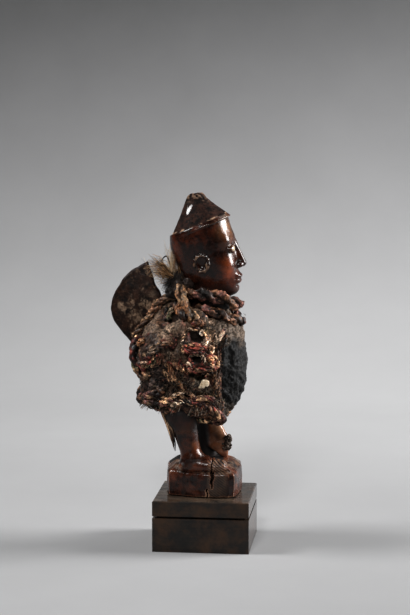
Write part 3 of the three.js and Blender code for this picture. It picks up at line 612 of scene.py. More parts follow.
# Placing by the photograph: rays through image points, stopped by a surface
CLOSE = dict(u=130, v=280, scale=11.2)  # a close view of the body: its corner and scale, in image pixels


def rays(points):
    """Rays through points of the close view"""
    uv = np.array(points, float).reshape(-1, 2) / CLOSE["scale"] + [CLOSE["u"], CLOSE["v"]]
    side = (uv[:, :1] - FRAME_PX[0] / 2) / FOCAL_PX * RIGHT
    return unit(FORWARD + side - (uv[:, 1:] - FRAME_PX[1] / 2) / FOCAL_PX * UP)


NEAREST, FARTHEST = 1500, 1690


def spots(points, field, lift=0.0):
    """Where those rays meet the surface; one that misses it ends at its nearest place"""
    ray = rays(points)
    lift = np.broadcast_to(np.asarray(lift, float), (len(ray),))
    far = np.full(len(ray), float(NEAREST))
    best = np.full(len(ray), 1e9)
    p = EYE_AT + ray * far[:, None]
    for _ in range(260):
        at = EYE_AT + ray * far[:, None]
        d = field(at) - lift
        nearer = d < best
        best[nearer] = d[nearer]
        p[nearer] = at[nearer]
        far = far + np.where((best > 0.05) & (far < FARTHEST), np.maximum(0.45 * d, 0.1), 0)
    for _ in range(4):
        p = p - np.clip((field(p) - lift)[:, None] * slope(field, p), -2, 2)
    return p


def close_paths(entries, field):
    """Paths over a surface; entries are (lift, points of the close view)"""
    lifts = np.concatenate([np.full(len(points), float(lift)) for lift, points in entries])
    places = spots([q for _, points in entries for q in points], field, lifts)
    paths, start = [], 0
    for lift, points in entries:
        path = resample(places[start:start + len(points)], 1.2)
        for _ in range(2):
            path = path - np.clip((field(path) - lift)[:, None] * slope(field, path), -1.5, 1.5)
        paths.append(path)
        start += len(points)
    return paths


def plane_spots(points, y):
    """Where those rays reach a depth y"""
    ray = rays(points)
    return EYE_AT + ray * ((y - EYE_AT[1]) / ray[:, 1])[:, None]


# Materials
class Paint:
    """A procedural material; positions are the mesh's own, in metres"""

    def __init__(self, name, **values):
        self.made = bpy.data.materials.new(name)
        self.made.use_nodes = True
        self.tree = self.made.node_tree
        self.shader = self.tree.nodes["Principled BSDF"]
        self.place = self.node("TexCoord").outputs["Object"]
        self.finish(**values)

    def put(self, socket, value):
        if isinstance(value, bpy.types.NodeSocket):
            self.tree.links.new(value, socket)
        else:
            socket.default_value = value

    def node(self, kind, **inputs):
        node = self.tree.nodes.new("ShaderNode" + kind)
        for key, value in inputs.items():
            self.put(node.inputs[key], value)
        return node

    def axis(self, name):
        return self.node("SeparateXYZ", Vector=self.place).outputs[name]

    def noise(self, size_mm, detail=6.0, rough=0.6, distort=0.0, stretch=None):
        place = self.place
        if stretch:
            place = self.node("Mapping", Scale=stretch, Vector=place).outputs["Vector"]
        node = self.node("TexNoise", Vector=place, Scale=1 / (size_mm * MM), Detail=detail, Roughness=rough,
                         Distortion=distort)
        return node.outputs["Fac"]

    def ramp(self, value, *stops):
        """Stops are (place, number or colour)"""
        node = self.node("ValToRGB", Fac=value)
        elements = node.color_ramp.elements
        while len(elements) < len(stops):
            elements.new(0.5)
        for element, (at, colour) in zip(elements, stops):
            element.position = at
            element.color = (colour if isinstance(colour, tuple) else (colour,) * 3) + (1,)
        return node.outputs["Color"]

    def mix(self, share, a, b, kind="MIX"):
        node = self.node("Mix")
        node.data_type = "RGBA"
        node.blend_type = kind
        for key, value in (("Factor", share), ("A", a), ("B", b)):
            self.put(node.inputs[key], value + (1,) if isinstance(value, tuple) else value)
        return node.outputs["Result"]

    def layer(self, base, colour, mottle, start, stop, share=1.0):
        """A colour over the base where a mottle, a value or the sizes of a noise, is high"""
        mottle = self.noise(*mottle) if isinstance(mottle, tuple) else mottle
        return self.mix(self.ramp(mottle, (start, 0.0), (stop, share)), base, colour)

    def math(self, kind, a, b):
        node = self.node("Math")
        node.operation = kind
        self.put(node.inputs[0], a)
        self.put(node.inputs[1], b)
        return node.outputs[0]

    def times(self, a, b):
        return self.math("MULTIPLY", a, b)

    def plus(self, a, b):
        return self.math("ADD", a, b)

    def tint(self):
        node = self.node("VertexColor")
        node.layer_name = "tint"
        return node.outputs["Color"]

    def split(self):
        """The red, green and blue of the tint"""
        return self.node("SeparateColor", Color=self.tint()).outputs[:3]

    def bump(self, height, depth_mm, under=None):
        node = self.node("Bump", Distance=depth_mm * MM, Height=height)
        if under:
            self.put(node.inputs["Normal"], under)
        return node.outputs["Normal"]

    def finish(self, **sockets):
        for key, value in sockets.items():
            self.put(self.shader.inputs[key.replace("_", " ")], value)
        return self.made


# Height in the figure as a share of WORN_SPAN, and the colour there of its worn wood, which also colours the painted
# light on the far leg
WORN_SPAN = 0.3
WORN_WOOD_AND_PAINTED_LIGHT = [(0.0, (0.20, 0.056, 0.027)), (0.24, (0.21, 0.064, 0.030)), (0.30, (0.34, 0.115, 0.030)),
             (0.5, (0.34, 0.115, 0.030)), (0.7, (0.27, 0.050, 0.014)), (0.80, (0.20, 0.062, 0.022)),
             (0.86, (0.22, 0.110, 0.048))]


def figure_wood():
    """tint: red = worn wood and painted light, green = grime, darker hollows and painted shade, blue = pale worn edge,
    painted highlight and painted light
    """
    m = Paint("figure_wood", Specular_IOR_Level=0.4)
    wear_and_painted_light, dirt_and_shade, edge = m.split()
    grain = m.noise(2.2, 8, 0.62, 0.4, (1, 1, 0.16))
    base = m.layer((0.0055, 0.0022, 0.0017), (0.026, 0.0078, 0.0045), grain, 0.35, 0.7)
    base = m.layer(base, (0.070, 0.0165, 0.0068), (14, 4, 0.6), 0.44, 0.66, 0.85)
    base = m.layer(base, (0.0042, 0.0018, 0.0015), (5.5, 5, 0.65), 0.44, 0.62, 0.85)
    patchy = m.ramp(m.noise(3.5, 6, 0.65), (0.3, 0.45), (0.6, 1.0))
    worn = m.ramp(m.times(m.axis("Z"), 1 / WORN_SPAN), *WORN_WOOD_AND_PAINTED_LIGHT)
    # Worn colour, which also paints light on the far leg
    base = m.mix(m.times(wear_and_painted_light, patchy), base, worn)
    # Pale colour of worn edges, also a painted highlight on the ear's rim and painted light on the far leg
    base = m.mix(m.times(edge, 0.85), base, (0.30, 0.19, 0.125))
    # Dark colour of grime and hollows, also the painted shade and shadow on the legs
    base = m.mix(m.times(dirt_and_shade, 0.85), base, (0.006, 0.0045, 0.004))
    rough = m.ramp(m.noise(4, 7, 0.72), (0.3, 0.13), (0.55, 0.24), (0.75, 0.42))
    dents = m.bump(m.noise(6, 3, 0.5), 0.30, m.bump(grain, 0.08))
    scratches = m.bump(m.noise(0.8, 4, 0.65, 0, (1, 1, 0.3)), 0.07, dents)
    return m.finish(Base_Color=base, Roughness=m.plus(rough, m.times(dirt_and_shade, 0.5)), Normal=scratches)


def cap_wood():
    """tint: red = pale worn edge, green = darker in hollows and between the tip's grains, blue = polished place"""
    m = Paint("cap_wood", Specular_IOR_Level=0.09, Coat_Roughness=0.12)
    worn, dirt_and_shade, polish = m.split()
    base = m.layer((0.0026, 0.0014, 0.0012), (0.034, 0.0145, 0.0100), (6, 7, 0.7), 0.42, 0.60)
    base = m.layer(base, (0.075, 0.043, 0.032), (1.3, 6, 0.75), 0.52, 0.70, 0.65)
    base = m.layer(base, (0.0030, 0.0020, 0.0018), (2.4, 6, 0.7), 0.52, 0.61, 0.95)
    base = m.mix(worn, base, (0.33, 0.22, 0.15))
    base = m.mix(m.times(dirt_and_shade, 0.9), base, (0.005, 0.004, 0.0035))
    rough = m.ramp(m.noise(3, 6, 0.7), (0.3, 0.60), (0.7, 0.85))
    lumps = m.bump(m.noise(5, 4, 0.6), 0.18, m.bump(m.noise(1.4, 6, 0.7), 0.10))
    return m.finish(Base_Color=base, Roughness=rough, Coat_Weight=m.times(polish, 0.5), Normal=lumps)


PLINTH_TOP = 0.041


def plinth_wood():
    m = Paint("plinth_wood", Coat_Weight=0.85, Coat_Roughness=0.14, Coat_IOR=1.34, Specular_IOR_Level=0.2)
    grain = m.noise(1.6, 8, 0.65, 0.6, (0.05, 1, 1))
    base = m.layer((0.0030, 0.0021, 0.0016), (0.0115, 0.0076, 0.0054), grain, 0.38, 0.66)
    base = m.layer(base, (0.046, 0.0205, 0.0075), (20, 6, 0.7), 0.43, 0.64, 0.9)
    base = m.layer(base, (0.026, 0.018, 0.011), (9, 7, 0.7), 0.45, 0.8, 0.5)
    top = m.ramp(m.times(m.axis("Z"), 1 / (2 * PLINTH_TOP)), (0.4975, 0.0), (0.499, 1.0))
    streaks = m.ramp(m.noise(10, 7, 0.72, 0.5, (0.45, 1, 1)), (0.40, 0.0), (0.66, 0.85))
    base = m.mix(m.times(top, streaks), base, (0.095, 0.070, 0.050))
    rough = m.ramp(m.noise(4, 6, 0.7), (0.3, 0.45), (0.7, 0.65))
    return m.finish(Base_Color=base, Roughness=rough, Normal=m.bump(grain, 0.12, m.bump(m.noise(8, 3), 0.1)))


def crust(name, depth, rough, coat, speck):
    """For pieces coloured by their tint: fine lumps with painted shade in their pits and painted highlight on their
    tops, and specks over it
    """
    m = Paint(name, Coat_Weight=coat, Coat_Roughness=0.25, Specular_IOR_Level=0.2)
    lumps = m.noise(1.6, 8, 0.7)
    fine = m.noise(0.5, 4, 0.7)
    # Painted shade and highlight: darker where the lumps' bump is low, lighter where it is high
    shade = m.layer((0.30, 0.27, 0.24), (2.7, 2.5, 2.3), lumps, 0.38, 0.64)
    base = m.layer(m.mix(1.0, m.tint(), shade, "MULTIPLY"), (0.22, 0.16, 0.11), fine, 0.62, 0.74, speck)
    rough = m.ramp(m.noise(2.4, 5, 0.6), (0.35, rough[0]), (0.65, rough[1]))
    return m.finish(Base_Color=base, Roughness=rough, Normal=m.bump(fine, depth * 0.35, m.bump(lumps, depth)))


# Painted shade for the packet's sunk pits: near black and dull
def painted_pit_shade():
    m = Paint("pit", Specular_IOR_Level=0.02, Roughness=0.95)
    return m.finish(Base_Color=m.mix(m.noise(2.0, 5), (0.0030, 0.0022, 0.0018), (0.0160, 0.0110, 0.0085)))


def fibre_paint():
    m = Paint("fibre", Specular_IOR_Level=0.3)
    base = m.layer(m.mix(0.35, m.tint(), (0.02, 0.015, 0.01)), m.tint(), (1.5, 4), 0.35, 0.65)
    return m.finish(Base_Color=base, Roughness=0.55, Normal=m.bump(m.noise(0.4, 3), 0.05))


def gourd_paint():
    """tint: red = glossy rim, green = beige worn patch"""
    m = Paint("gourd", Specular_IOR_Level=0.15)
    rim, bare, _ = m.split()
    blotch = m.noise(7.5, 9, 0.72, 0.5)
    base = m.layer((0.0050, 0.0024, 0.0016), (0.032, 0.0135, 0.0075), blotch, 0.42, 0.60)
    base = m.layer(base, (0.10, 0.055, 0.032), (2.6, 8, 0.78), 0.54, 0.66, 0.8)
    bare = m.times(bare, m.ramp(m.noise(1.6, 6, 0.7), (0.35, 0.2), (0.6, 1.0)))
    base = m.mix(rim, m.mix(bare, base, (0.34, 0.235, 0.16)), (0.012, 0.0045, 0.003))
    rough = m.plus(m.ramp(m.noise(3, 6), (0.3, 0.35), (0.7, 0.65)), m.times(rim, -0.28))
    return m.finish(Base_Color=base, Roughness=rough, Normal=m.bump(blotch, 0.7, m.bump(m.noise(1.2, 5, 0.7), 0.3)))


def resin_paint():
    """tint: 0 = tar, 1 = crusted earth"""
    m = Paint("resin", Specular_IOR_Level=0.3)
    crusty = m.split()[0]
    lumps = m.noise(3.0, 9, 0.74, 0.3, (1, 1, 0.8))
    base = m.layer((0.0008, 0.0008, 0.0009), (0.012, 0.0095, 0.008), lumps, 0.48, 0.72)
    base = m.layer(base, (0.15, 0.115, 0.090), (0.9, 4, 0.7), 0.62, 0.70, 0.9)
    earth = m.layer((0.022, 0.016, 0.012), (0.36, 0.27, 0.205), (1.5, 7, 0.75), 0.38, 0.66)
    rough = m.plus(m.ramp(m.noise(2, 6, 0.7), (0.3, 0.20), (0.6, 0.65)), m.times(crusty, 0.25))
    bumps = m.bump(lumps, 2.2, m.bump(m.noise(0.9, 5, 0.75), 0.6))
    return m.finish(Base_Color=m.mix(crusty, base, earth), Roughness=rough, Normal=bumps)


def inlay_paint(name, light, dark):
    """tint of the eyes: 0 = pupil, 1 = white; the shell has one colour"""
    m = Paint(name, Coat_Weight=0.8, Coat_Roughness=0.08)
    base = m.layer(dark, light, (2.0, 6), 0.35, 0.7)
    base = m.mix(m.tint(), (0.015, 0.010, 0.008), base) if name == "inlay" else base
    return m.finish(Base_Color=base, Roughness=0.3, Normal=m.bump(m.noise(1.0, 4), 0.08))


WOOD = figure_wood()
CAP_WOOD = cap_wood()
CRUST = crust("cloth_crust", 0.6, (0.5, 0.85), coat=0.08, speck=0.35)
ROPE = crust("rope_crust", 0.35, (0.45, 0.8), coat=0.15, speck=0.3)
FIBRE = fibre_paint()
GOURD = gourd_paint()
RESIN = resin_paint()
INLAY = inlay_paint("inlay", (0.55, 0.46, 0.30), (0.30, 0.22, 0.13))
SHELL = inlay_paint("shell", (0.86, 0.74, 0.56), (0.50, 0.36, 0.22))
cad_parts["display_plinth"].data.materials.clear()
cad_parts["display_plinth"].data.materials.append(plinth_wood())

# Linear colours of the tied-on things
DARK = (0.022, 0.013, 0.010)
BROWN = (0.105, 0.056, 0.034)
RED = (0.15, 0.040, 0.031)
PLUM = (0.090, 0.042, 0.038)
BEIGE = (0.33, 0.215, 0.135)
ORANGE = (0.26, 0.125, 0.062)
GREY = (0.22, 0.165, 0.125)
MOSS = (0.085, 0.08, 0.048)
BLACK = (0.008, 0.007, 0.006)
BONE = (0.50, 0.41, 0.33)
SOOT = (0.060, 0.045, 0.041)
DYES = dict(D=DARK, N=BROWN, R=RED, P=PLUM, B=BEIGE, O=ORANGE, G=GREY, g=(0.13, 0.098, 0.074), M=MOSS,
            K=BLACK, W=BONE, S=SOOT)


# A flat polished place on the cap, turned so that it mirrors the left lamp
POLISHED = spots([(661, -784)], cap_field)[0]
LEFT_LAMP = np.array([-900.0, -120.0, 1100.0])
POLISHED_NORMAL = unit(unit(LEFT_LAMP - POLISHED) + unit(EYE_AT - POLISHED))


FIGURE_PARTS = [(head_field, (-30, -24, 192), (34, 24, 286), 0.62), (leg_field, (-36, -28, 58), (24, 33, 122), 0.75),
                (block_field, (-34, -26, 40), (31, 28, 70), 0.7)]
CAP_FOOT = 235  # the cap's lowest height
ANKLE = 72  # the feet and the block lie under it


def make_figure():
    parts = []
    for field, low, high, step in FIGURE_PARTS:
        verts, faces = surface(field, low, high, step)
        n = vertex_normals(verts, faces)
        hollow = hollows(verts, faces, 4)
        x, y, z = verts.T
        w = brim_frame(verts)[2]
        cap = smooth(-0.1, 0.3, w) * (z > CAP_FOOT)
        head, legs, feet, far = z > 180, z < 130, z < ANKLE, y > 2
        # Shape: carving marks, the polished flat and the beads and lumps of the cap
        rough = 0.10 * fractal(verts, 5.0, 3, 3) + 0.14 * fractal(verts, 11.0, 2, 4)
        rough = rough * (1 - 0.6 * cap) + cap * 0.10 * fractal(verts, 3.2, 3, 8)
        rough = rough + (z < 70) * 0.22 * fractal(verts * [1, 1, 0.6], 4.5, 3, 5)
        verts = verts + n * rough[:, None]
        off = (verts - POLISHED) - 0.37 * (z - POLISHED[2])[:, None] * [1, 0, 0]
        near = np.exp(-((off**2 / [5.6, 14, 30]) @ [1, 1, 1]) ** 2) * cap
        verts = verts - POLISHED_NORMAL * (near * ((verts - POLISHED) @ POLISHED_NORMAL))[:, None]
        beads = cap * smooth(1.6, 0.4, w) * smooth(-12, -22, x)
        tip = cap * smooth(274, 282, z)
        grains = noise(verts, 1.7, 21)
        verts = verts + n * (tip * 0.9 * grains + beads * 0.8 * noise(verts, 1.8, 22))[:, None]
        # Wear, and painted light on the far leg's front
        both = np.stack([x, np.abs(y), z], 1)
        patch = patches(verts, -0.1, 0.6, 9.0, 3, 14)
        cheek = glow(both, [19, 13, 224], [5, 6, 10])
        brow = glow(both, [17, 9, 257], [7, 8, 9])
        ear = glow(both, [EAR["x"], 21, EAR["z"]], [8, 3, 9], 4) * head
        wear_and_painted_light = (0.75 * cheek + 0.8 * brow * (1 - cap)) * (0.5 + 0.5 * patch)
        wear_and_painted_light = wear_and_painted_light + 0.12 * smooth(6, 18, x) * (z > 200) * patch
        wear_and_painted_light = (wear_and_painted_light + smooth(0.10, 0.5, -hollow) * 0.30) * (1 - ear)
        calf = np.where(~far & (z > ANKLE), 0.10 + 0.3 * smooth(92, 80, z), 0.4)
        wear_and_painted_light = wear_and_painted_light + legs * patches(verts, 0.0, 0.7, 10.0, 3, 15) * calf
        # Painted light on the upper front of the far leg
        wear_and_painted_light = wear_and_painted_light + smooth(84, 92, z) * legs * far * smooth(0, 5, x)
        wear_and_painted_light = wear_and_painted_light + feet * smooth(0.04, 0.25, -hollow) * 0.45
        wear_and_painted_light = wear_and_painted_light + 0.3 * smooth(70, 74, z) * smooth(90, 78, z) * ~far * (0.3 + 0.7 * patch)
        # Painted light on the lower front of the far leg
        wear_and_painted_light = wear_and_painted_light + smooth(66, 70, z) * smooth(90, 82, z) * far * smooth(0, 5, x) * (0.75 + 0.4 * patch)
        # Dirt, darker in hollows and low on the head, and painted shade between the legs
        dirt_and_shade = smooth(0.05, 0.4, hollow) * (1 - 0.4 * cap) + 0.5 * smooth(214, 206, z) * head
        dirt_and_shade = dirt_and_shade + 0.6 * patches(verts, 0.1, 0.8, 7.0, 3, 16) * feet
        dirt_and_shade = dirt_and_shade + smooth(90, 104, z + 5 * fractal(verts, 6.0, 3, 18)) * legs * ~far * 0.75
        dirt_and_shade = dirt_and_shade + 0.45 * glow(both * [1, 0, 1], [9, 0, 86], [5, 1, 3.5]) * far
        # Painted shade between the legs
        dirt_and_shade = dirt_and_shade + smooth(6, 11, y) * smooth(24, 17, y) * smooth(6, -2, x) * (z > 64) * legs
        # Pale edges: worn edges, paler upward faces on the feet and block, a painted highlight on the ear's rim and
        # painted light on the far leg's front
        # The ear's rim paler: worn wood and a painted highlight
        edge = 0.75 * ear * smooth(0.05, 0.22, -hollow) * patches(verts, -0.4, 0.5, 2.4, 2, 24)
        edge = edge + feet * smooth(0.10, 0.3, -hollow) * smooth(-0.2, 0.4, patch)
        edge = edge + 0.42 * (z < 71) * smooth(0.55, 0.9, n[:, 2]) * patches(verts, -0.5, 0.6, 3.6, 4, 26)
        # Painted light: the far leg's front made paler
        edge = edge + 0.8 * far * smooth(0, 6, x) * smooth(66, ANKLE, z) * smooth(108, 98, z) * (0.4 + 0.6 * patch)
        # Painted shadow on the far leg's back, below a line that falls towards its toes
        shadow = z - np.interp(x, [-2, 0.6, 6.2, 17], [95, 77, 73, 65.5]) + 0.5 * fractal(verts, 3.0, 2, 19)
        shadow = far * (z > 63.5) * (x < 18.5) * smooth(0.9, -0.9, shadow)
        wear_and_painted_light, edge, dirt_and_shade = wear_and_painted_light * (1 - shadow), edge * (1 - shadow), np.maximum(dirt_and_shade, shadow)
        # Toes of the near foot
        toes = (z < 71) * (y < -6) * smooth(3, 6, x) * smooth(21, 17, x)
        edge = edge + toes * (0.75 * (1 - toe_lines(verts)) - 0.35)
        dirt_and_shade = dirt_and_shade * (1 - 0.8 * np.clip(edge, 0, 1)) + 0.8 * toes * toe_lines(verts)
        # The cap has a wood of its own
        worn = smooth(1.1, 0.5, np.abs(w - 0.5)) * patches(verts, -0.1, 0.5, 4.0, 3, 23) * 0.7
        worn = worn + 0.8 * beads * smooth(0.0, 0.4, noise(verts, 1.8, 22)) + 0.42 * tip * smooth(0.0, 0.5, grains)
        dirt_and_shade = dirt_and_shade + 0.9 * tip * smooth(0.1, -0.4, grains)
        tint = np.where((cap > 0.5)[:, None], np.stack([worn, dirt_and_shade, near], 1), np.stack([wear_and_painted_light, dirt_and_shade, edge], 1))
        parts.append((verts, faces, tint))
    verts, faces, tint = joined(parts)
    made = piece("figure", (verts, faces, tint), WOOD, ["carved_figure"])
    made.data.materials.append(CAP_WOOD)
    centre = verts[faces].mean(1)
    on_cap = (brim_frame(centre)[2] > 0.1) & (centre[:, 2] > CAP_FOOT)
    made.data.polygons.foreach_set("material_index", on_cap.astype(np.int32))


def make_eyes():
    for side, name in ((-1, "right"), (1, "left")):
        def field(p, side=side):
            q = p.copy()
            q[..., 1] = p[..., 1] * side
            d = ellipsoid(q, [EYE["x"] - 2.6, EYE["y"], EYE["z"]], [4.6, 5.4, 3.4])
            return np.maximum(d, np.abs(q[..., 2] - EYE["z"]) - 3.2)
        low = np.array([EYE["x"] - 4, side * EYE["y"] - 6, EYE["z"] - 4])
        verts, faces = surface(field, low, low + [8, 12, 8], 0.4)
        gap = np.hypot(verts[:, 1] - side * EYE["y"], verts[:, 2] - EYE["z"])
        white = smooth(1.1, 1.5, gap)
        piece("eye_" + name, (verts, faces, white[:, None] * [1, 1, 1]), INLAY, ["eye_inlay_" + name])


def ridged(p, scale, octaves, seed):
    return 1 - 2 * np.abs(fractal(p, scale, octaves, seed))


# On the near side, in the close view: (across, down, reach in mm, height in mm)
HUMPS = [(540, 840, 4.5, 2.6), (470, 560, 7, 1.6), (330, 720, 6, 1.8), (640, 500, 4, 1.2), (440, 350, 5, -5.0),
         (500, 440, 3, -2.5), (520, 690, 3.0, -3.5), (480, 760, 2.6, -2.5), (415, 880, 3, -2.0), (760, 1055, 5, -2.5),
         (620, 1330, 3.6, -4.0), (560, 1330, 2.5, -2.0), (330, 960, 4, -2.2), (430, 1110, 5, 1.0), (250, 1130, 5, 1.0),
         (780, 1130, 4, 1.2), (880, 1240, 5, 1.3), (720, 1210, 4, 1.0), (700, 430, 5, 1.2), (930, 470, 5, 1.4),
         (1010, 560, 5, 1.2), (940, 620, 3, 1.0), (1000, 1000, 3, -1.5), (950, 1100, 3, -1.0), (850, 1300, 3, -1.6)]
# (across, down, reach in mm, colour, share)
STAINS = [(430, 600, 9, "G", 0.9), (330, 760, 7, "g", 0.9), (520, 500, 6, "g", 0.8), (620, 470, 4, "R", 0.5),
          (560, 640, 3, "P", 0.8), (480, 700, 3, "P", 0.8), (330, 850, 3, "R", 0.9), (330, 900, 2.5, "R", 0.7),
          (540, 850, 5, "g", 0.8), (250, 1130, 10, "S", 1.0), (370, 1180, 9, "S", 0.9), (760, 1080, 8, "M", 0.5),
          (850, 1250, 7, "M", 0.5), (930, 1150, 5, "R", 0.35), (950, 480, 9, "G", 0.9), (1010, 600, 7, "g", 0.8),
          (860, 570, 3, "M", 0.9), (880, 600, 3, "B", 0.4), (700, 1200, 4, "g", 0.5), (960, 1380, 5, "N", 0.6),
          (450, 1250, 4, "g", 0.35), (620, 1330, 5, "K", 0.9), (440, 360, 7, "K", 0.9), (1060, 500, 6, "g", 0.8)]


HUMP_PLACES = spots([h[:2] for h in HUMPS], skin_field)
STAIN_PLACES = spots([h[:2] for h in STAINS], skin_field)


def near_shape(verts, n):
    for place, (_, _, reach, height) in zip(HUMP_PLACES, HUMPS):
        verts = verts + n * (glow(verts, place, reach) * height)[:, None]
    return verts


def near_stains(verts, tint):
    mottle = patches(verts, -0.5, 0.3, 3.4, 3, 141)
    for place, (_, _, reach, colour, share) in zip(STAIN_PLACES, STAINS):
        tint = over(tint, DYES[colour], np.clip(glow(verts, place, reach) * 1.6, 0, 1) * share * mottle)
    return tint


def make_wrap():
    verts, faces = surface(bundle_field, (-52, -38, 98), (20, 38, 204), 0.7)
    n = vertex_normals(verts, faces)
    turn = np.arctan2(verts[:, 1], verts[:, 0] - BODY_X)
    low = smooth(152, 138, verts[:, 2])
    folds = np.sin(15 * turn + 2.2 * noise(verts * [1, 1, 0.4], 9.0, 47)) * low
    rough = (1.3 * fractal(verts, 15.0, 2, 41) + 1.1 * ridged(verts * [1, 1, 0.7], 7.0, 3, 42) - 0.4
             + 0.9 * folds * (0.5 + 0.5 * noise(verts, 14.0, 48)) + 0.5 * fractal(verts, 2.6, 3, 43))
    shaped = near_shape(verts, n)
    calm = 1 - 0.8 * smooth(144, 156, verts[:, 2]) * smooth(4, -10, verts[:, 0])
    knobs = (noise(verts, 2.0, 38) + 0.6 * noise(verts, 1.1, 39)) * calm
    verts = shaped + n * (rough + 0.32 * knobs)[:, None]
    x, y, z = verts.T
    tint = over(DARK, np.array(BROWN) * 0.7, patches(verts, -0.4, 0.5, 10.0, 3, 44))
    upper = smooth(148, 172, z) * smooth(-0.1, 0.5, fractal(verts, 13.0, 2, 49) + 0.2)
    tint = over(tint, np.array(GREY) * 0.6, 0.7 * upper)
    tint = over(tint, RED, 0.5 * patches(verts, 0.45, 0.8, 6.0, 3, 46))
    tint = near_stains(verts, tint)
    hollow = hollows(verts, faces, 4)
    fine = patches(verts, -0.4, 0.6, 2.4, 3, 45) * calm + 0.62 * (1 - calm)
    # Painted shade in the hollows and painted highlight on the ridges, then painted shade and highlight on the knobs;
    # lighter towards the hem and at the lower back
    shade = (0.35 + 0.9 * fine) * (1 - 0.85 * smooth(0.0, 0.45, hollow)) * (1 + 0.8 * smooth(0.05, 0.5, -hollow))
    shade = shade * (0.45 + 1.25 * smooth(-0.6, 0.9, knobs))
    shade = shade * (1 + 0.45 * smooth(126, 112, z) + 0.30 * smooth(-22, -34, x) * smooth(150, 140, z))
    tint = tint * shade[:, None]
    piece("cloth", (verts, faces, tint), CRUST, ["cloth_wrap"])


def make_charge():
    verts, faces = surface(charge_field, (-16, -26, 97), (36, 26, 195), 0.75)
    n = vertex_normals(verts, faces)
    tar = 1.5 * fractal(verts * [1, 1, 0.75], 4.6, 3, 52) + 0.8 * ridged(verts * [1, 1, 0.8], 3.8, 3, 58) - 0.3
    z = verts[:, 2]
    top = smooth(161, 170, z + 5 * fractal(verts, 8.0, 2, 53))
    rough = 0.9 * fractal(verts, 13.0, 2, 51) + 0.8 * tar * (1 - top) \
        + (1.3 * ridged(verts, 4.5, 3, 55) - 0.4 + 0.9 * fractal(verts, 1.8, 2, 56)) * top
    verts = verts + n * rough[:, None]
    foot = 0.7 * smooth(118, 108, z + 4 * fractal(verts, 6.0, 2, 54))
    crusty = np.clip(top + foot, 0, 1) * (1 - 0.7 * smooth(0.0, 0.4, hollows(verts, faces)))
    piece("charge", (verts, faces, crusty[:, None] * [1, 1, 1]), RESIN, ["belly_charge"])


def make_plate():
    outline = [(-46.3, 228), (-54, 224.5), (-62, 219), (-68.5, 211), (-73.5, 202), (-76.2, 194), (-75.6, 184.5),
               (-71.5, 176.5), (-65, 168.5), (-57, 159.5), (-50, 154), (-42, 158), (-36, 172), (-34, 190), (-36.5, 202),
               (-40, 209), (-43, 217)]
    rim = resample([(a, 0, b) for a, b in outline + outline[:1]], 1.2)[:-1]
    middle = np.array([-55, 0, 190.0])
    rings = np.linspace(0, 1, 34)[1:]
    count = len(rim)
    sheets = []
    for side in (-1, 1):
        flat = np.concatenate([middle[None]] + [middle + (rim - middle) * r for r in rings])
        reach = np.concatenate([[0], np.repeat(rings, count)])
        thick = 1.65 * np.sqrt(np.clip(1 - (np.maximum(reach - 0.93, 0) / 0.07) ** 2, 0.02, 1))
        thick = thick + 0.5 * smooth(0.86, 0.97, reach)
        dx, dz = flat[:, 0] + 56, flat[:, 2] - 192
        y = (dx * dx + dz * dz) * 0.0035 + side * thick + 0.35 * fractal(flat + [0, side * 9, 0], 9.0, 3, 61)
        y = y + 0.12 * fractal(flat + [0, side * 9, 0], 2.0, 3, 62) - 1.7
        verts = flat.copy()
        verts[:, 1] = y
        edge = smooth(0.9, 1.0, reach)[:, None]
        verts = verts + edge * 0.5 * np.stack([fractal(flat, 7.0, 2, 63), 0 * y, fractal(flat, 7.0, 2, 64)], 1)
        a = np.arange(count)
        nxt = (a + 1) % count
        faces = np.concatenate([np.stack([0 * a, 1 + a, 1 + nxt, 1 + nxt], 1),
                                1 + ring_faces(1, len(rings), count)[:, [0, 3, 2, 1]]])
        if side > 0:
            faces = faces[:, [0, 3, 2, 1]]
            faces[:count] = np.stack([0 * a, 1 + nxt, 1 + a, 1 + a], 1)
        bare = 0.75 * patches(verts, 0.35, 0.75, 9.0, 4, 65)
        for place in plane_spots([(252, 168), (350, 284), (246, 432)], 0):
            bare = bare + glow(verts, place, 3.2)
        bare = bare * patches(verts, -0.3, 0.3, 2.4, 3, 66)
        sheets.append((verts, faces, np.stack([0.9 * smooth(0.90, 0.97, reach), bare, 0 * bare], 1)))
    verts, faces, tint = joined(sheets)
    half = len(sheets[0][0])
    a, nxt = 1 + (len(rings) - 1) * count + a, 1 + (len(rings) - 1) * count + nxt
    faces = np.concatenate([faces, np.stack([a, a + half, nxt + half, nxt], 1)])
    piece("gourd_shard", (verts, faces, tint), GOURD, ["gourd_plate"])


def rope(name, node, path, radius, colours, slot="rope", **style):
    piece(name, twisted(path, radius, colours, **style), ROPE, [node])


def laid(points, field, lift):
    """A path from points (degrees round the body's axis, height), dropped on a surface from outside"""
    run = resample([(math.cos(math.radians(d)) * 40, math.sin(math.radians(d)) * 40, z) for d, z in points], 2.0)
    out = unit(run * [1, 1, 0])
    reach = np.full(len(run), 90.0)

    def places():
        return np.stack([BODY_X + out[:, 0] * reach, out[:, 1] * reach, run[:, 2]], 1)

    for _ in range(200):
        reach = np.maximum(reach - np.clip(0.6 * (field(places()) - lift), 0, 3), 1)
    return places()


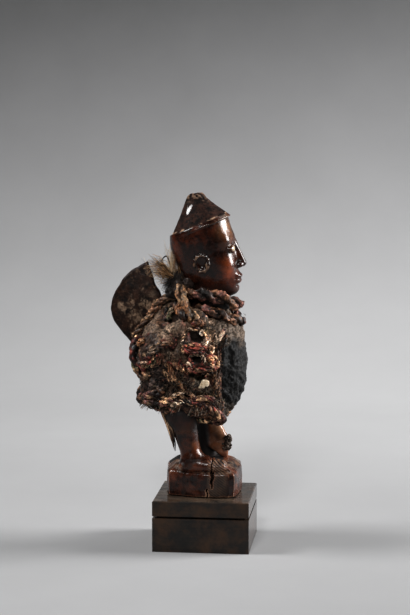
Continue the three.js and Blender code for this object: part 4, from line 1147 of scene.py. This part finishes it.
# Routes of the ropes: plain places, or degrees round the body and height
NECK_TURNS = 1.88
BRAID = [(-17.5, -14, 212), (-17.5, -18.5, 207), (-16.5, -22, 202), (-13, -25, 197), (-9.5, -27.5, 192.5),
         (-6.5, -30, 188), (-5, -31.5, 184)]
BACK = [(-22, -9, 203), (-33, -8, 198.5), (-42, -7, 188), (-50, -7.5, 177), (-57, -9, 166)]
LOOP = [(-45, -8, 165), (-53.5, -13, 164.5), (-55.5, -19, 157), (-50.5, -22, 149), (-43, -26, 146)]
LOOP_LOW = [(-53, -8, 151), (-53.5, -15, 146), (-48.5, -21, 139.5), (-41, -26, 139)]
KNOB = [(-43, -13, 126), (-49, -15, 126.5), (-51.5, -16, 121.5), (-47.5, -16, 116.5)]
ARM = [(-142, 146), (-133, 153), (-123, 160), (-112, 166), (-101, 168)]
WAIST = [(-150, 117), (-128, 119.5), (-108, 121.5), (-88, 121), (-66, 118.5), (-46, 110), (-30, 103), (-10, 100.5),
         (12, 100.5), (34, 103), (56, 112), (80, 118), (104, 119), (128, 118), (152, 117), (176, 117), (196, 118),
         (214, 121.5), (230, 126), (246, 129)]
TIE = [(-118, 147), (-108, 138), (-99, 129), (-84, 121.5), (-66, 112)]
SIDE = [(-34, 174), (-37, 160), (-38, 145), (-38, 130), (-38, 118), (-40, 110)]
FAR = [(150, 176), (132, 170), (112, 163), (92, 156), (70, 149), (50, 143)]


def neck_path():
    """From the front round the near side, the nape and the far side, then once more below"""
    path = []
    for n in range(61):
        turns = n / 60 * NECK_TURNS
        a = -turns * 2 * PI
        x = 4.7 + 22.5 * math.cos(a)
        drop = 13.2 * float(smooth(0.5, 1.0, turns))
        path.append((x, 16.4 * math.sin(a), 204.4 - 0.0105 * (x + 4) ** 2 - drop))
    return path


def make_ropes():
    neck = neck_path()
    half = 34
    pinkish = (0.11, 0.052, 0.043)
    top = twisted(neck[:half], 4.9, [BROWN, pinkish, DARK, PLUM], strands=2, fray=0.25, seed=1, grain=0.7, sides=20)
    low = twisted(neck[half - 1:], 4.4, [DARK, BROWN, PLUM, DARK], strands=2, fray=0.35, seed=2, grain=0.7, sides=18)
    frizz = whiskers(neck, 4.6, 420, [BEIGE, BROWN, pinkish, DARK], 2.6, 0.13, 15, 0.25)
    piece("neck_cord", joined([top, low, frizz]), ROPE, ["neck_rope"])
    rope("braid", "raffia_braid", BRAID, 4.4, [(0.27, 0.18, 0.11), (0.26, 0.135, 0.070)], "raffia", strands=2,
         turns_per_mm=0.022, fray=0.15, seed=3, clean=0.5, loose=0.5, grain=0.05)
    rope("edge_cord", "back_rope", BACK, 3.2, [BROWN, BEIGE, BROWN, MOSS], fray=0.3, seed=4, clean=0.3)
    rope("elbow_knot", "elbow_rope_upper", LOOP, 4.2, [DARK, RED, DARK, BROWN], strands=2, fray=0.4, seed=5)
    rope("elbow_loop", "elbow_rope_lower", LOOP_LOW, 4.1, [BEIGE, BROWN, MOSS], fray=0.35, seed=6, clean=0.3)
    rope("arm_cord", "arm_rope", laid(ARM, skin_field, 1.6), 2.6, [GREY, BROWN, RED], fray=0.35, seed=7)
    rope("waist_cord", "waist_rope", laid(WAIST, skin_field, 1.6), 3.1, [BROWN, DARK, PLUM, BEIGE], sides=10,
         fray=0.4, seed=8, clean=0.15)
    rope("hip_knob", "hip_rope_end", KNOB, 3.8, [PLUM, DARK, BROWN], strands=2, fray=0.4, seed=9)
    rope("slant_cord", "tie_string", laid(TIE, skin_field, 1.2), 1.7, [BEIGE, BROWN, BEIGE], fray=0.2, seed=10)
    rope("side_string", "side_cord", laid(SIDE, skin_field, 0.8), 1.2, [BROWN, DARK], strands=2, fray=0.15, seed=11)
    rope("far_cord", "far_shoulder_rope", laid(FAR, skin_field, 1.8), 2.9, [BROWN, GREY, RED], fray=0.4, seed=12)


def lump(centre, radii, tint, seed, step=0.7, rough=0.8):
    c, r = np.array(centre, float), np.array(radii, float)
    verts, faces = surface(lambda p: ellipsoid(p, centre, radii), c - r - 1, c + r + 1, step)
    n = vertex_normals(verts, faces)
    verts = verts + n * (rough * fractal(verts, 3.4, 3, seed))[:, None]
    shade = 1 + 0.4 * fractal(verts, 2.2, 3, seed + 5)[:, None]
    return verts, faces, np.array(tint) * shade


# Cords on the near side, in the close view: (radius, lift as a share of it, colours, clean share, places)
PACKET_CORDS = [
    (1.2, 0.9, "WB", 0.8, [(637, 606), (598, 650), (586, 701), (586, 748), (590, 795), (604, 840)]),
    (1.2, 1.6, "WPB", 0.5, [(640, 556), (665, 542), (697, 555), (744, 547), (783, 534)]),
    (1.4, 1.2, "WPB", 0.6, [(806, 550), (821, 606), (860, 632), (890, 675), (890, 722), (877, 765)]),
    (1.3, 1.2, "RBO", 0.6, [(606, 735), (646, 744), (676, 722), (719, 718), (761, 722), (800, 738)]),
    (1.3, 1.2, "RPN", 0.5, [(604, 770), (640, 790), (700, 776), (760, 765), (830, 760), (866, 790)]),
    (1.2, 1.0, "PDR", 0.4, [(612, 815), (680, 812), (740, 800), (810, 800), (850, 812)]),
    (0.8, 2.2, "WP", 0.8, [(826, 655), (850, 664), (868, 684), (860, 706), (840, 708), (832, 690)]),
    (0.8, 2.2, "WP", 0.8, [(806, 700), (826, 716), (850, 726), (866, 750)]),
    (1.5, 1.0, "OBW", 0.9, [(866, 772), (890, 755), (914, 767), (920, 800), (900, 822), (878, 812)]),
    (1.1, 1.3, "WGD", 0.5, [(660, 868), (702, 842), (758, 834), (804, 851), (834, 905), (846, 940)]),
    (1.7, 1.0, "RPR", 0.5, [(566, 880), (560, 930), (590, 965), (607, 1010)]),
    (1.5, 1.0, "BRW", 0.7, [(633, 950), (667, 937), (697, 958), (690, 990), (650, 985)]),
    (1.8, 0.9, "RNB", 0.4, [(640, 985), (700, 1004), (790, 1010), (860, 996), (900, 978)]),
    (1.9, 1.0, "ORB", 0.7, [(862, 905), (890, 872), (930, 872), (962, 900), (974, 940), (950, 985), (900, 992)]),
    (1.5, 1.2, "OBR", 0.7, [(880, 930), (910, 905), (936, 925), (926, 960), (890, 962)]),
    (1.4, 1.2, "GWP", 0.5, [(924, 709), (963, 702), (1000, 650), (1018, 615), (1045, 575), (1078, 538)]),
    (1.2, 1.2, "PWG", 0.5, [(967, 572), (954, 620), (970, 660), (1000, 640), (1024, 600)]),
    (1.2, 0.9, "GBN", 0.4, [(905, 655), (938, 700), (930, 760), (940, 820), (930, 850)]),
    (1.6, 1.2, "ORN", 0.5, [(720, 455), (760, 462), (800, 480), (820, 520)]),
    (1.4, 1.2, "RON", 0.5, [(680, 520), (720, 490), (760, 480), (790, 500)])]
NEAR_CORDS = [
    (2.1, 0.7, "OBO", 0.9, [(168, 668), (120, 695), (72, 722)]),
    (1.7, 0.8, "BNM", 0.6, [(236, 830), (262, 870), (264, 930), (238, 985)]),
    (1.9, 0.8, "RPN", 0.6, [(300, 810), (326, 852), (318, 915), (280, 945)]),
    (1.6, 0.9, "BRM", 0.7, [(150, 812), (184, 850), (214, 900), (204, 950), (168, 976)]),
    (1.6, 0.8, "DBN", 0.4, [(150, 1000), (178, 1046), (214, 1066), (240, 1040)]),
    (1.1, 0.8, "GgB", 0.6, [(216, 812), (240, 752), (292, 720), (352, 690)]),
    (1.3, 0.9, "GWg", 0.5, [(416, 780), (436, 818), (428, 870), (446, 905)]),
    (2.0, 0.5, "PRP", 0.5, [(512, 640), (500, 690), (470, 742), (440, 770)]),
    (1.5, 0.9, "RBN", 0.6, [(398, 950), (450, 932), (494, 954), (528, 982), (556, 1004)]),
    (1.6, 0.9, "BON", 0.7, [(470, 900), (500, 940), (560, 965), (592, 1010), (606, 1050)]),
    (1.9, 0.9, "BNO", 0.8, [(392, 925), (440, 985), (470, 1060), (520, 1130), (588, 1190), (640, 1238)]),
    (0.9, 0.9, "BM", 0.7, [(528, 1095), (566, 1140), (606, 1185)]),
    (0.9, 0.9, "MB", 0.7, [(508, 1108), (548, 1150), (590, 1205)]),
    (1.8, 0.9, "NPB", 0.5, [(640, 1236), (690, 1290), (740, 1340), (800, 1385)]),
    (2.8, 1.4, "RPB", 0.9, [(322, 1400), (352, 1386), (396, 1374), (436, 1360)]),
    (1.8, 1.2, "BWB", 0.9, [(430, 1345), (474, 1318), (530, 1282), (580, 1254), (630, 1238)]),
    (1.0, 0.9, "BN", 0.5, [(440, 1380), (500, 1330), (548, 1292), (600, 1268)]),
    (2.3, 1.3, "GBW", 0.8, [(448, 1388), (520, 1388), (580, 1372), (640, 1368), (690, 1380)]),
    (2.0, 1.3, "RBP", 0.8, [(650, 1392), (700, 1376), (750, 1352), (830, 1330), (900, 1332), (950, 1352)]),
    (1.2, 0.9, "GBN", 0.5, [(700, 1340), (780, 1310), (860, 1300), (930, 1320)]),
    (1.8, 1.1, "NRB", 0.6, [(690, 1400), (740, 1400), (800, 1416), (860, 1450)]),
    (1.9, 0.9, "NRP", 0.5, [(790, 1398), (850, 1410), (920, 1436), (985, 1480), (1035, 1545)]),
    (1.7, 0.9, "RNB", 0.5, [(900, 1480), (950, 1500), (1000, 1530), (1045, 1572)]),
    (1.6, 0.9, "BM", 0.6, [(752, 1566), (800, 1580), (860, 1584), (905, 1578)]),
    (1.2, 0.8, "NDN", 0.4, [(972, 690), (975, 829), (984, 900), (992, 1000), (986, 1100), (984, 1200), (1000, 1330)]),
    (1.1, 0.8, "DNP", 0.3, [(1010, 720), (1004, 850), (1012, 1000), (1006, 1150), (1004, 1290), (1012, 1430)]),
    (1.4, 0.8, "DNB", 0.3, [(960, 1000), (950, 1100), (962, 1200), (950, 1300)]),
    (1.3, 0.9, "DPN", 0.2, [(280, 1122), (350, 1108), (430, 1092)]),
    (1.1, 0.9, "OBR", 0.7, [(835, 1105), (860, 1070), (900, 1050)]),
    (1.6, 0.8, "BON", 0.8, [(700, 215), (760, 240), (820, 270), (850, 300)]),
    (3.6, 0.9, "NDO", 0.5, [(520, 240), (545, 310), (590, 380), (640, 430)]),
    (2.3, 0.5, "MGM", 0.6, [(474, 275), (462, 330), (440, 400), (425, 452)]),
    (1.8, 0.6, "KPD", 0.3, [(418, 300), (405, 380), (396, 450)])]


def lay_cords(entries, seed, sides=8):
    paths = close_paths([(r * lift, places) for r, lift, _, _, places in entries], dressed_field)
    parts = []
    for k, (path, (radius, _, dyes, clean, _)) in enumerate(zip(paths, entries)):
        colours = [DYES[d] for d in dyes]
        parts.append(twisted(path, radius, colours, strands=min(3, len(dyes)), fray=0.12 + 0.08 * radius,
                             seed=seed + 7 * k, sides=sides, clean=clean * 0.9, grain=0.28))
        parts.append(whiskers(path, radius, int(6 + len(path) * 1.2), colours + [BEIGE, DARK], 3.0, 0.12, seed + k))
    return joined(parts)


def packet_pits():
    return spots([(738, 632), (742, 888)], dressed_field)


def make_packet():
    verts, faces = surface(packet_field, (-17, -45, 142), (12, -14, 180), 0.55)
    n = vertex_normals(verts, faces)
    verts = verts + n * (0.9 * fractal(verts, 5.0, 3, 71) + 0.6 * ridged(verts, 3.0, 2, 73) - 0.2)[:, None]
    pits = packet_pits()
    sunk = np.zeros(len(verts))
    for pit, wide, deep in zip(pits, (6.9, 4.4), (5.5, 2.0)):
        apart = np.abs(verts - pit)[:, [0, 2]].max(1) + 1.2 * fractal(verts, 3.6, 3, 74)
        near = smooth(wide, wide - 2.6, apart) * smooth(-18, -26, verts[:, 1])
        verts = verts + [0, 1, 0] * (near * deep)[:, None]
        sunk = np.maximum(sunk, near)
    tint = over(DARK, np.array(RED) * 0.6, patches(verts, -0.3, 0.3, 3.4, 3, 72))
    tint = tint * (1 - 0.7 * smooth(0, 0.4, hollows(verts, faces)))[:, None]
    # Painted shade: the sunk pits coloured near black and given their own dull material
    tint = over(tint, (0.004, 0.004, 0.003), sunk)
    made = piece("packet", (verts, faces, tint), CRUST, ["arm_packet"])
    made.data.materials.append(painted_pit_shade())
    made.data.polygons.foreach_set("material_index", (sunk[faces].min(1) > 0.7).astype(np.int32))
    verts, faces, tint = lay_cords([(1.2 * r, *rest) for r, *rest in PACKET_CORDS], 300)
    piece("packet_cords", (verts, faces, tint * 1.2), ROPE, [])
    elbow = [lump(at, (5.2, 6, 5.2), tint, 30 + k) for k, (at, tint) in enumerate(
        [((-50, -13, 158), DARK), ((-48, -14, 149), BROWN), ((-46, -16, 141.5), DARK)])]
    verts, faces, tint = joined(elbow + [lay_cords(NEAR_CORDS, 500)])
    tint = tint * (1 + 0.9 * smooth(128, 118, verts[:, 2]) * smooth(8, 0, verts[:, 0]))[:, None]
    piece("near_cords", (verts, faces, tint), ROPE, [])


def make_bits():
    at = spots([(822, 1166)], dressed_field, 2.4)[0]
    outline = [(-4.9, -4.1), (-1.8, -3.5), (0.8, -3.1), (1.7, -1.7), (3.4, -2.0), (4.6, 0.4), (4.2, 2.4), (2.2, 3.5),
               (-0.6, 3.5), (-1.8, 1.6), (-3.0, -1.0)]
    rim = resample([(a, 0, b) for a, b in outline + outline[:1]], 0.5)[:-1]
    count = len(rim)
    rings = [(0, 0.8), (0.35, 0.75), (0.7, 0.6), (0.92, 0.35), (1.0, 0.0), (0.92, -0.35), (0.5, -0.5), (0, -0.5)]
    verts = np.concatenate([at + rim * r + [0, -h, 0] for r, h in rings])
    verts = verts + 0.12 * drift(verts, 1.6, 80)
    faces = ring_faces(1, len(rings), count)[:, ::-1]
    piece("shell_bit", (verts, faces, np.zeros((len(verts), 3))), SHELL, ["shell_chip"])

    balls = np.random.default_rng(14)
    grains = [((16.6, 10, 79.8), 3.4), ((15.6, 9.4, 83.8), 2.3), ((16.4, 10, 75.8), 2.3)]
    for turn, tall in zip(balls.uniform(-2.6, 1.6, 26), balls.uniform(-5.8, 6.0, 26)):
        out = 3.6 * math.sqrt(max(0.1, 1 - (tall / 7.6) ** 2))
        grains.append(((16.2 + out * math.cos(turn), 10 + out * math.sin(turn), 79.8 + tall), balls.uniform(0.8, 1.5)))
    parts = [lump(at, (r, r, r), (0.045, 0.034, 0.028), 91 + k, 0.45, 0.25) for k, (at, r) in enumerate(grains)]
    piece("shin_crust", joined(parts), CRUST, ["shin_charge"])


STRIP_Y = -13
STRIP_LEFT = [(286, 1360), (336, 1440), (358, 1492), (409, 1620), (434, 1699), (460, 1780), (484, 1830), (500, 1925)]
STRIP_RIGHT = [(380, 1360), (409, 1443), (440, 1530), (463, 1612), (498, 1700), (505, 1764), (512, 1815), (508, 1900)]


def make_strip():
    """The hanging strip: dried fibres, wide above and gathered to a point"""
    local = np.random.default_rng(5)
    count, rings = 84, 22
    share = np.linspace(0, 1, rings)
    across = np.linspace(0, 1, count)
    local.shuffle(across)
    borders = [resample(plane_spots(points, STRIP_Y), 0.5) for points in (STRIP_LEFT, STRIP_RIGHT)]
    paths = []
    for k, a in enumerate(across):
        stop = local.uniform(0.50, 0.84) if k % 9 else local.uniform(0.88, 1.0)
        at = share * stop
        left, right = [along_path(side, np.linspace(0, 1, len(side)), at) for side in borders]
        line = left + (right - left) * (0.5 + (a - 0.5) * (1 - 0.3 * at[:, None]))
        paths.append(line + at[:, None] ** 2 * local.normal(0, 0.5, 3) + [0, local.uniform(-4.0, 0.0), 0])
    radii = (1 - 0.65 * share)[None, :] * local.uniform(0.4, 0.95, count)[:, None]
    sides = 5
    verts, faces = tubes(np.stack(paths), radii, sides)
    skins = np.array([(0.30, 0.10, 0.085), (0.62, 0.42, 0.27), (0.20, 0.10, 0.06), (0.05, 0.028, 0.022), DARK])
    pick = skins[np.clip((across * 3.4 + local.normal(0, 0.8, count)).astype(int), 0, 4)][:, None]
    pick = pick * (1 - 0.88 * smooth(0.62, 0.9, share))[None, :, None] * local.uniform(0.6, 1.2, (count, 1, 1))
    tint = np.repeat(pick.reshape(-1, 3), sides, 0)
    piece("strip", (verts, faces, tint), FIBRE, ["hanging_strip"])


# Tufts at the nape: (count, radius, spread, curl, colours, places in image pixels)
STIFF, PALE = ((0.16, 0.07, 0.03), (0.05, 0.025, 0.014), (0.36, 0.20, 0.09)), ((0.56, 0.42, 0.27), (0.40, 0.27, 0.16))
OCHRE = ((0.62, 0.37, 0.17), (0.40, 0.21, 0.085), (0.62, 0.46, 0.28), (0.03, 0.018, 0.011))
TUFTS = [
    (22, 0.20, 1.2, 0.5, STIFF, [(171, 274), (162, 265), (154, 258)]),
    (16, 0.20, 1.2, 0.5, STIFF, [(171, 274), (162, 265), (148.6, 265.5)]),
    (9, 0.26, 0.5, 0.2, ((0.012, 0.009, 0.007),), [(161.5, 261), (164, 257), (167, 256.5), (170, 264), (170, 270)]),
    (16, 0.30, 0.9, 0.3, ((0.55, 0.42, 0.26), (0.45, 0.25, 0.10)), [(162, 265), (166, 269), (171, 275)]),
    (12, 0.30, 0.8, 0.3, ((0.60, 0.50, 0.36), (0.30, 0.18, 0.09)), [(169, 272), (166, 275), (161, 281.4)]),
    (84, 0.18, 4.6, 4.6, OCHRE + STIFF, [(171, 275), (160, 267), (150, 262)]),
    (84, 0.18, 4.4, 4.6, OCHRE + STIFF, [(171, 277), (159, 273), (150, 270)]),
    (46, 0.18, 3.4, 4.0, OCHRE, [(168, 270), (160, 266), (154, 264)]),
    (50, 0.12, 2.6, 1.2, PALE, [(172, 272), (171, 258), (169.5, 244)]),
    (40, 0.13, 2.2, 0.9, PALE + STIFF, [(175, 276), (173.5, 262), (172, 250)]),
    (18, 0.22, 1.0, 0.5, ((0.32, 0.16, 0.07), (0.10, 0.05, 0.03)), [(174.7, 259), (174, 266), (173, 275)])]
CURLS = [
    (230, 0.16, 3.4, 3.0, ((0.004, 0.0035, 0.003), (0.010, 0.008, 0.007)), [(176, 280), (170, 284), (168, 292)]),
    (120, 0.15, 2.8, 2.6, ((0.004, 0.0035, 0.003), (0.03, 0.018, 0.012)), [(182, 272), (178, 282), (176, 294)]),
    (40, 0.13, 1.8, 1.6, ((0.004, 0.0035, 0.003),), [(172, 282), (166, 284), (160.5, 286)]),
    (40, 0.13, 2.2, 1.6, ((0.004, 0.0035, 0.003),), [(172, 286), (167, 290), (162.5, 292)]),
    (26, 0.22, 1.6, 0.8, STIFF + ((0.02, 0.014, 0.010),), [(179, 262), (180, 272), (183, 284)])]


TUFT_Y = -9


def tuft(entries, seed):
    """Bundles of fibres along places of the image, at one depth, that wander apart towards their ends"""
    parts = []
    for k, (count, radius, spread, curl, colours, places) in enumerate(entries):
        local = np.random.default_rng(seed + k)
        close = [((u - CLOSE["u"]) * CLOSE["scale"], (v - CLOSE["v"]) * CLOSE["scale"]) for u, v in places]
        line = resample(plane_spots(close, TUFT_Y), 0.9)
        share = np.linspace(0, 1, len(line))[None, :, None]
        apart = local.normal(0, spread, (count, 1, 3)) * (0.30 + 0.70 * share)
        shift = np.arange(count)[:, None, None] * 17.3 + line[None]
        waves = np.stack([noise(shift + 50 * n, 3.2, seed + k) for n in range(3)], -1)
        paths = line[None] + apart + curl * waves * (0.25 + 0.75 * share)
        keep = local.uniform(0.55, 1.0, (count, 1, 1))
        at = share * keep * (len(line) - 1)
        low = np.minimum(at.astype(int), len(line) - 2)
        part = at - low
        rows = np.arange(count)[:, None]
        paths = paths[rows, low[..., 0]] * (1 - part) + paths[rows, low[..., 0] + 1] * part
        taper = radius * local.uniform(0.6, 1.2, (count, 1)) * (1 - 0.6 * share[0, :, 0])[None, :]
        verts, faces = tubes(paths, taper, 4)
        pick = np.array(colours)[local.integers(0, len(colours), count)] * local.uniform(0.6, 1.3, (count, 1))
        parts.append((verts, faces, np.repeat(pick, len(line) * 4, 0)))
    return parts


def make_tufts():
    piece("pale_tuft", joined(tuft(TUFTS, 40)), FIBRE, ["fibre_tuft"])
    piece("dark_tuft", joined(tuft(CURLS, 60)), FIBRE, ["hair_tuft"])
    wads = [((-24, -5, 214), (5, 6, 8), (0.012, 0.009, 0.007)), ((-20, -11, 207), (6.5, 6, 7), (0.014, 0.010, 0.008)),
            ((-25, -9, 205), (6, 5.5, 6), (0.008, 0.006, 0.005)), ((-14, -7, 211), (6, 6, 7), (0.016, 0.010, 0.008))]
    piece("nape_wad", joined([lump(*wad, 95 + k, 0.6, 1.4) for k, wad in enumerate(wads)]), CRUST, [])


def make_fuzz():
    """Fibres and threads stuck in the crust, in heaps with bare places between"""
    local = np.random.default_rng(21)
    count = 5200
    turn, z = local.uniform(-PI, PI, count), local.uniform(104, 190, count)
    starts = np.stack([BODY_X + 45 * np.cos(turn), 45 * np.sin(turn), z], 1)
    heads = np.stack([-np.sin(turn), np.cos(turn), local.normal(0, 0.9, count)], 1)
    heads = heads * local.choice([-1, 1], (count, 1))
    steps = 6
    paths = crawl(skin_field, starts, heads, steps, 1.0, 0.5, 0.55, 22)
    middle = paths[:, steps // 2]
    bare = smooth(146, 158, middle[:, 2]) * smooth(-6, -16, middle[:, 0])
    kept = (charge_field(middle) > 1.0) & (fractal(middle, 9.0, 3, 23) > -0.15 + 0.6 * bare)
    for pit in packet_pits():
        kept = kept & (length((middle - pit) * [1, 0.4, 1]) > 8.5)
    paths, middle, count = paths[kept], middle[kept], int(kept.sum())
    rise = np.sin(np.linspace(0, PI, steps + 1))[None, :] * local.uniform(0, 1.3, (count, 1))
    out = unit(slope(skin_field, middle))
    paths = paths + (rise + local.uniform(-0.3, 0.6, (count, 1)))[..., None] * out[:, None]
    taper = np.sin(np.linspace(0.25, PI - 0.25, steps + 1)) ** 0.5
    radii = local.uniform(0.13, 0.36, count)[:, None] * taper[None, :]
    sides = 4
    verts, faces = tubes(paths, radii, sides)
    kinds = np.array([BEIGE, BROWN, GREY, RED, DARK, BEIGE, MOSS, DARK, BONE, PLUM])
    pick = kinds[local.integers(0, len(kinds), count)]
    near = np.abs(fractal(paths[:, 3], 12.0, 2, 24))[:, None]
    pick = pick * local.uniform(0.25, 0.85, (count, 1)) * (0.5 + near)
    tint = np.repeat(pick, (steps + 1) * sides, 0)
    piece("loose_fibres", (verts, faces, tint), FIBRE, [])


# Floor, wall and lights
# Painted light falloff on the floor and wall: grey by height, and its share by depth, from left to right and towards
# the lower right
PAINTED_FALLOFF_BY_HEIGHT = [(0.0, 0.33), (0.05, 0.325), (0.12, 0.30), (0.22, 0.257), (0.34, 0.21), (0.46, 0.165), (0.59, 0.12),
                  (0.7, 0.082), (1.0, 0.045)]
PAINTED_FALLOFF_BY_DEPTH = [(0.0, 0.73), (0.365, 0.80), (0.49, 0.86), (0.64, 0.96), (0.85, 1.05), (1.0, 1.0)]
PAINTED_FALLOFF_LEFT_TO_RIGHT = [(0.0, 0.84), (0.4, 0.96), (0.7, 1.06), (1.0, 1.12)]
PAINTED_FALLOFF_LOWER_RIGHT = [(0.0, 1.0), (0.48, 1.0), (0.66, 0.87), (1.0, 0.80)]


def make_stage():
    m = Paint("backdrop", Roughness=0.9)
    up, right = m.axis("Z"), m.plus(m.axis("X"), 0.5)
    # The backdrop's grey is painted light falloff, darker upwards and changing by depth and from side to side
    shade = m.ramp(m.times(up, 1 / 0.65), *[(at, (v, v, v * 1.01)) for at, v in PAINTED_FALLOFF_BY_HEIGHT])
    for place, tones in ((m.plus(m.axis("Y"), 0.2), PAINTED_FALLOFF_BY_DEPTH), (right, PAINTED_FALLOFF_LEFT_TO_RIGHT),
                         (m.plus(right, m.times(up, -0.3)), PAINTED_FALLOFF_LOWER_RIGHT)):
        shade = m.mix(1.0, shade, m.ramp(place, *tones), "MULTIPLY")
    shade = m.mix(0.03, shade, m.noise(120, 4))
    # Clear from behind, so that other views see past it
    clear = m.math("SUBTRACT", 1.0, m.node("NewGeometry").outputs["Backfacing"])
    sweep = m.finish(Base_Color=shade, Normal=m.bump(m.noise(2.5, 3), 0.02), Alpha=clear)
    near, radius = 600, 500  # of the cove between floor and wall
    cove = [(near + radius * math.sin(a), radius - radius * math.cos(a)) for a in np.linspace(0, PI / 2, 17)]
    profile = [(-3000, 0)] + cove + [(near + radius, 2600)]
    verts = np.array([(x, y, z - 0.05) for x in (-3500, 3500) for y, z in profile], float)
    k = len(profile)
    mesh = bpy.data.meshes.new("backdrop")
    mesh.from_pydata(verts * MM, [], [(n, n + k, n + k + 1, n + 1) for n in range(k - 1)], shade_flat=False)
    mesh.materials.append(sweep)
    floor = bpy.data.objects.new("backdrop", mesh)
    bpy.context.collection.objects.link(floor)


def area_light(name, place, aim, size, power, colour=(1, 1, 1)):
    data = bpy.data.lights.new(name, "AREA")
    data.shape = "RECTANGLE"
    data.size, data.size_y = size
    data.energy = power
    data.color = colour
    lamp = bpy.data.objects.new(name, data)
    lamp.location = place
    lamp.rotation_euler = (Vector(aim) - Vector(place)).to_track_quat("-Z", "Y").to_euler()
    bpy.context.collection.objects.link(lamp)


def make_lights():
    aim = (0, 0, 0.16)
    area_light("key", (1.60, 0.36, 0.80), aim, (0.72, 1.05), 60)
    area_light("left_top", LEFT_LAMP * MM, aim, (0.36, 0.45), 17)
    area_light("front", (-0.10, -1.50, 1.25), aim, (0.30, 0.30), 18)
    area_light("wall", (0.6, 0.55, 1.2), (0.1, 1.1, 0.35), (1.2, 0.3), 3.5)
    world = bpy.data.worlds.new("studio")
    world.use_nodes = True
    world.node_tree.nodes["Background"].inputs["Color"].default_value = (0.5, 0.5, 0.51, 1)
    world.node_tree.nodes["Background"].inputs["Strength"].default_value = 0.03
    bpy.context.scene.world = world


bpy.context.scene.view_settings.view_transform = "Standard"
bpy.context.scene.view_settings.gamma = 0.84
bpy.context.scene.view_settings.exposure = 0.3
make_figure()
make_eyes()
make_wrap()
make_charge()
make_plate()
make_ropes()
make_packet()
make_bits()
make_strip()
make_tufts()
make_fuzz()
make_stage()
make_lights()
make_camera()
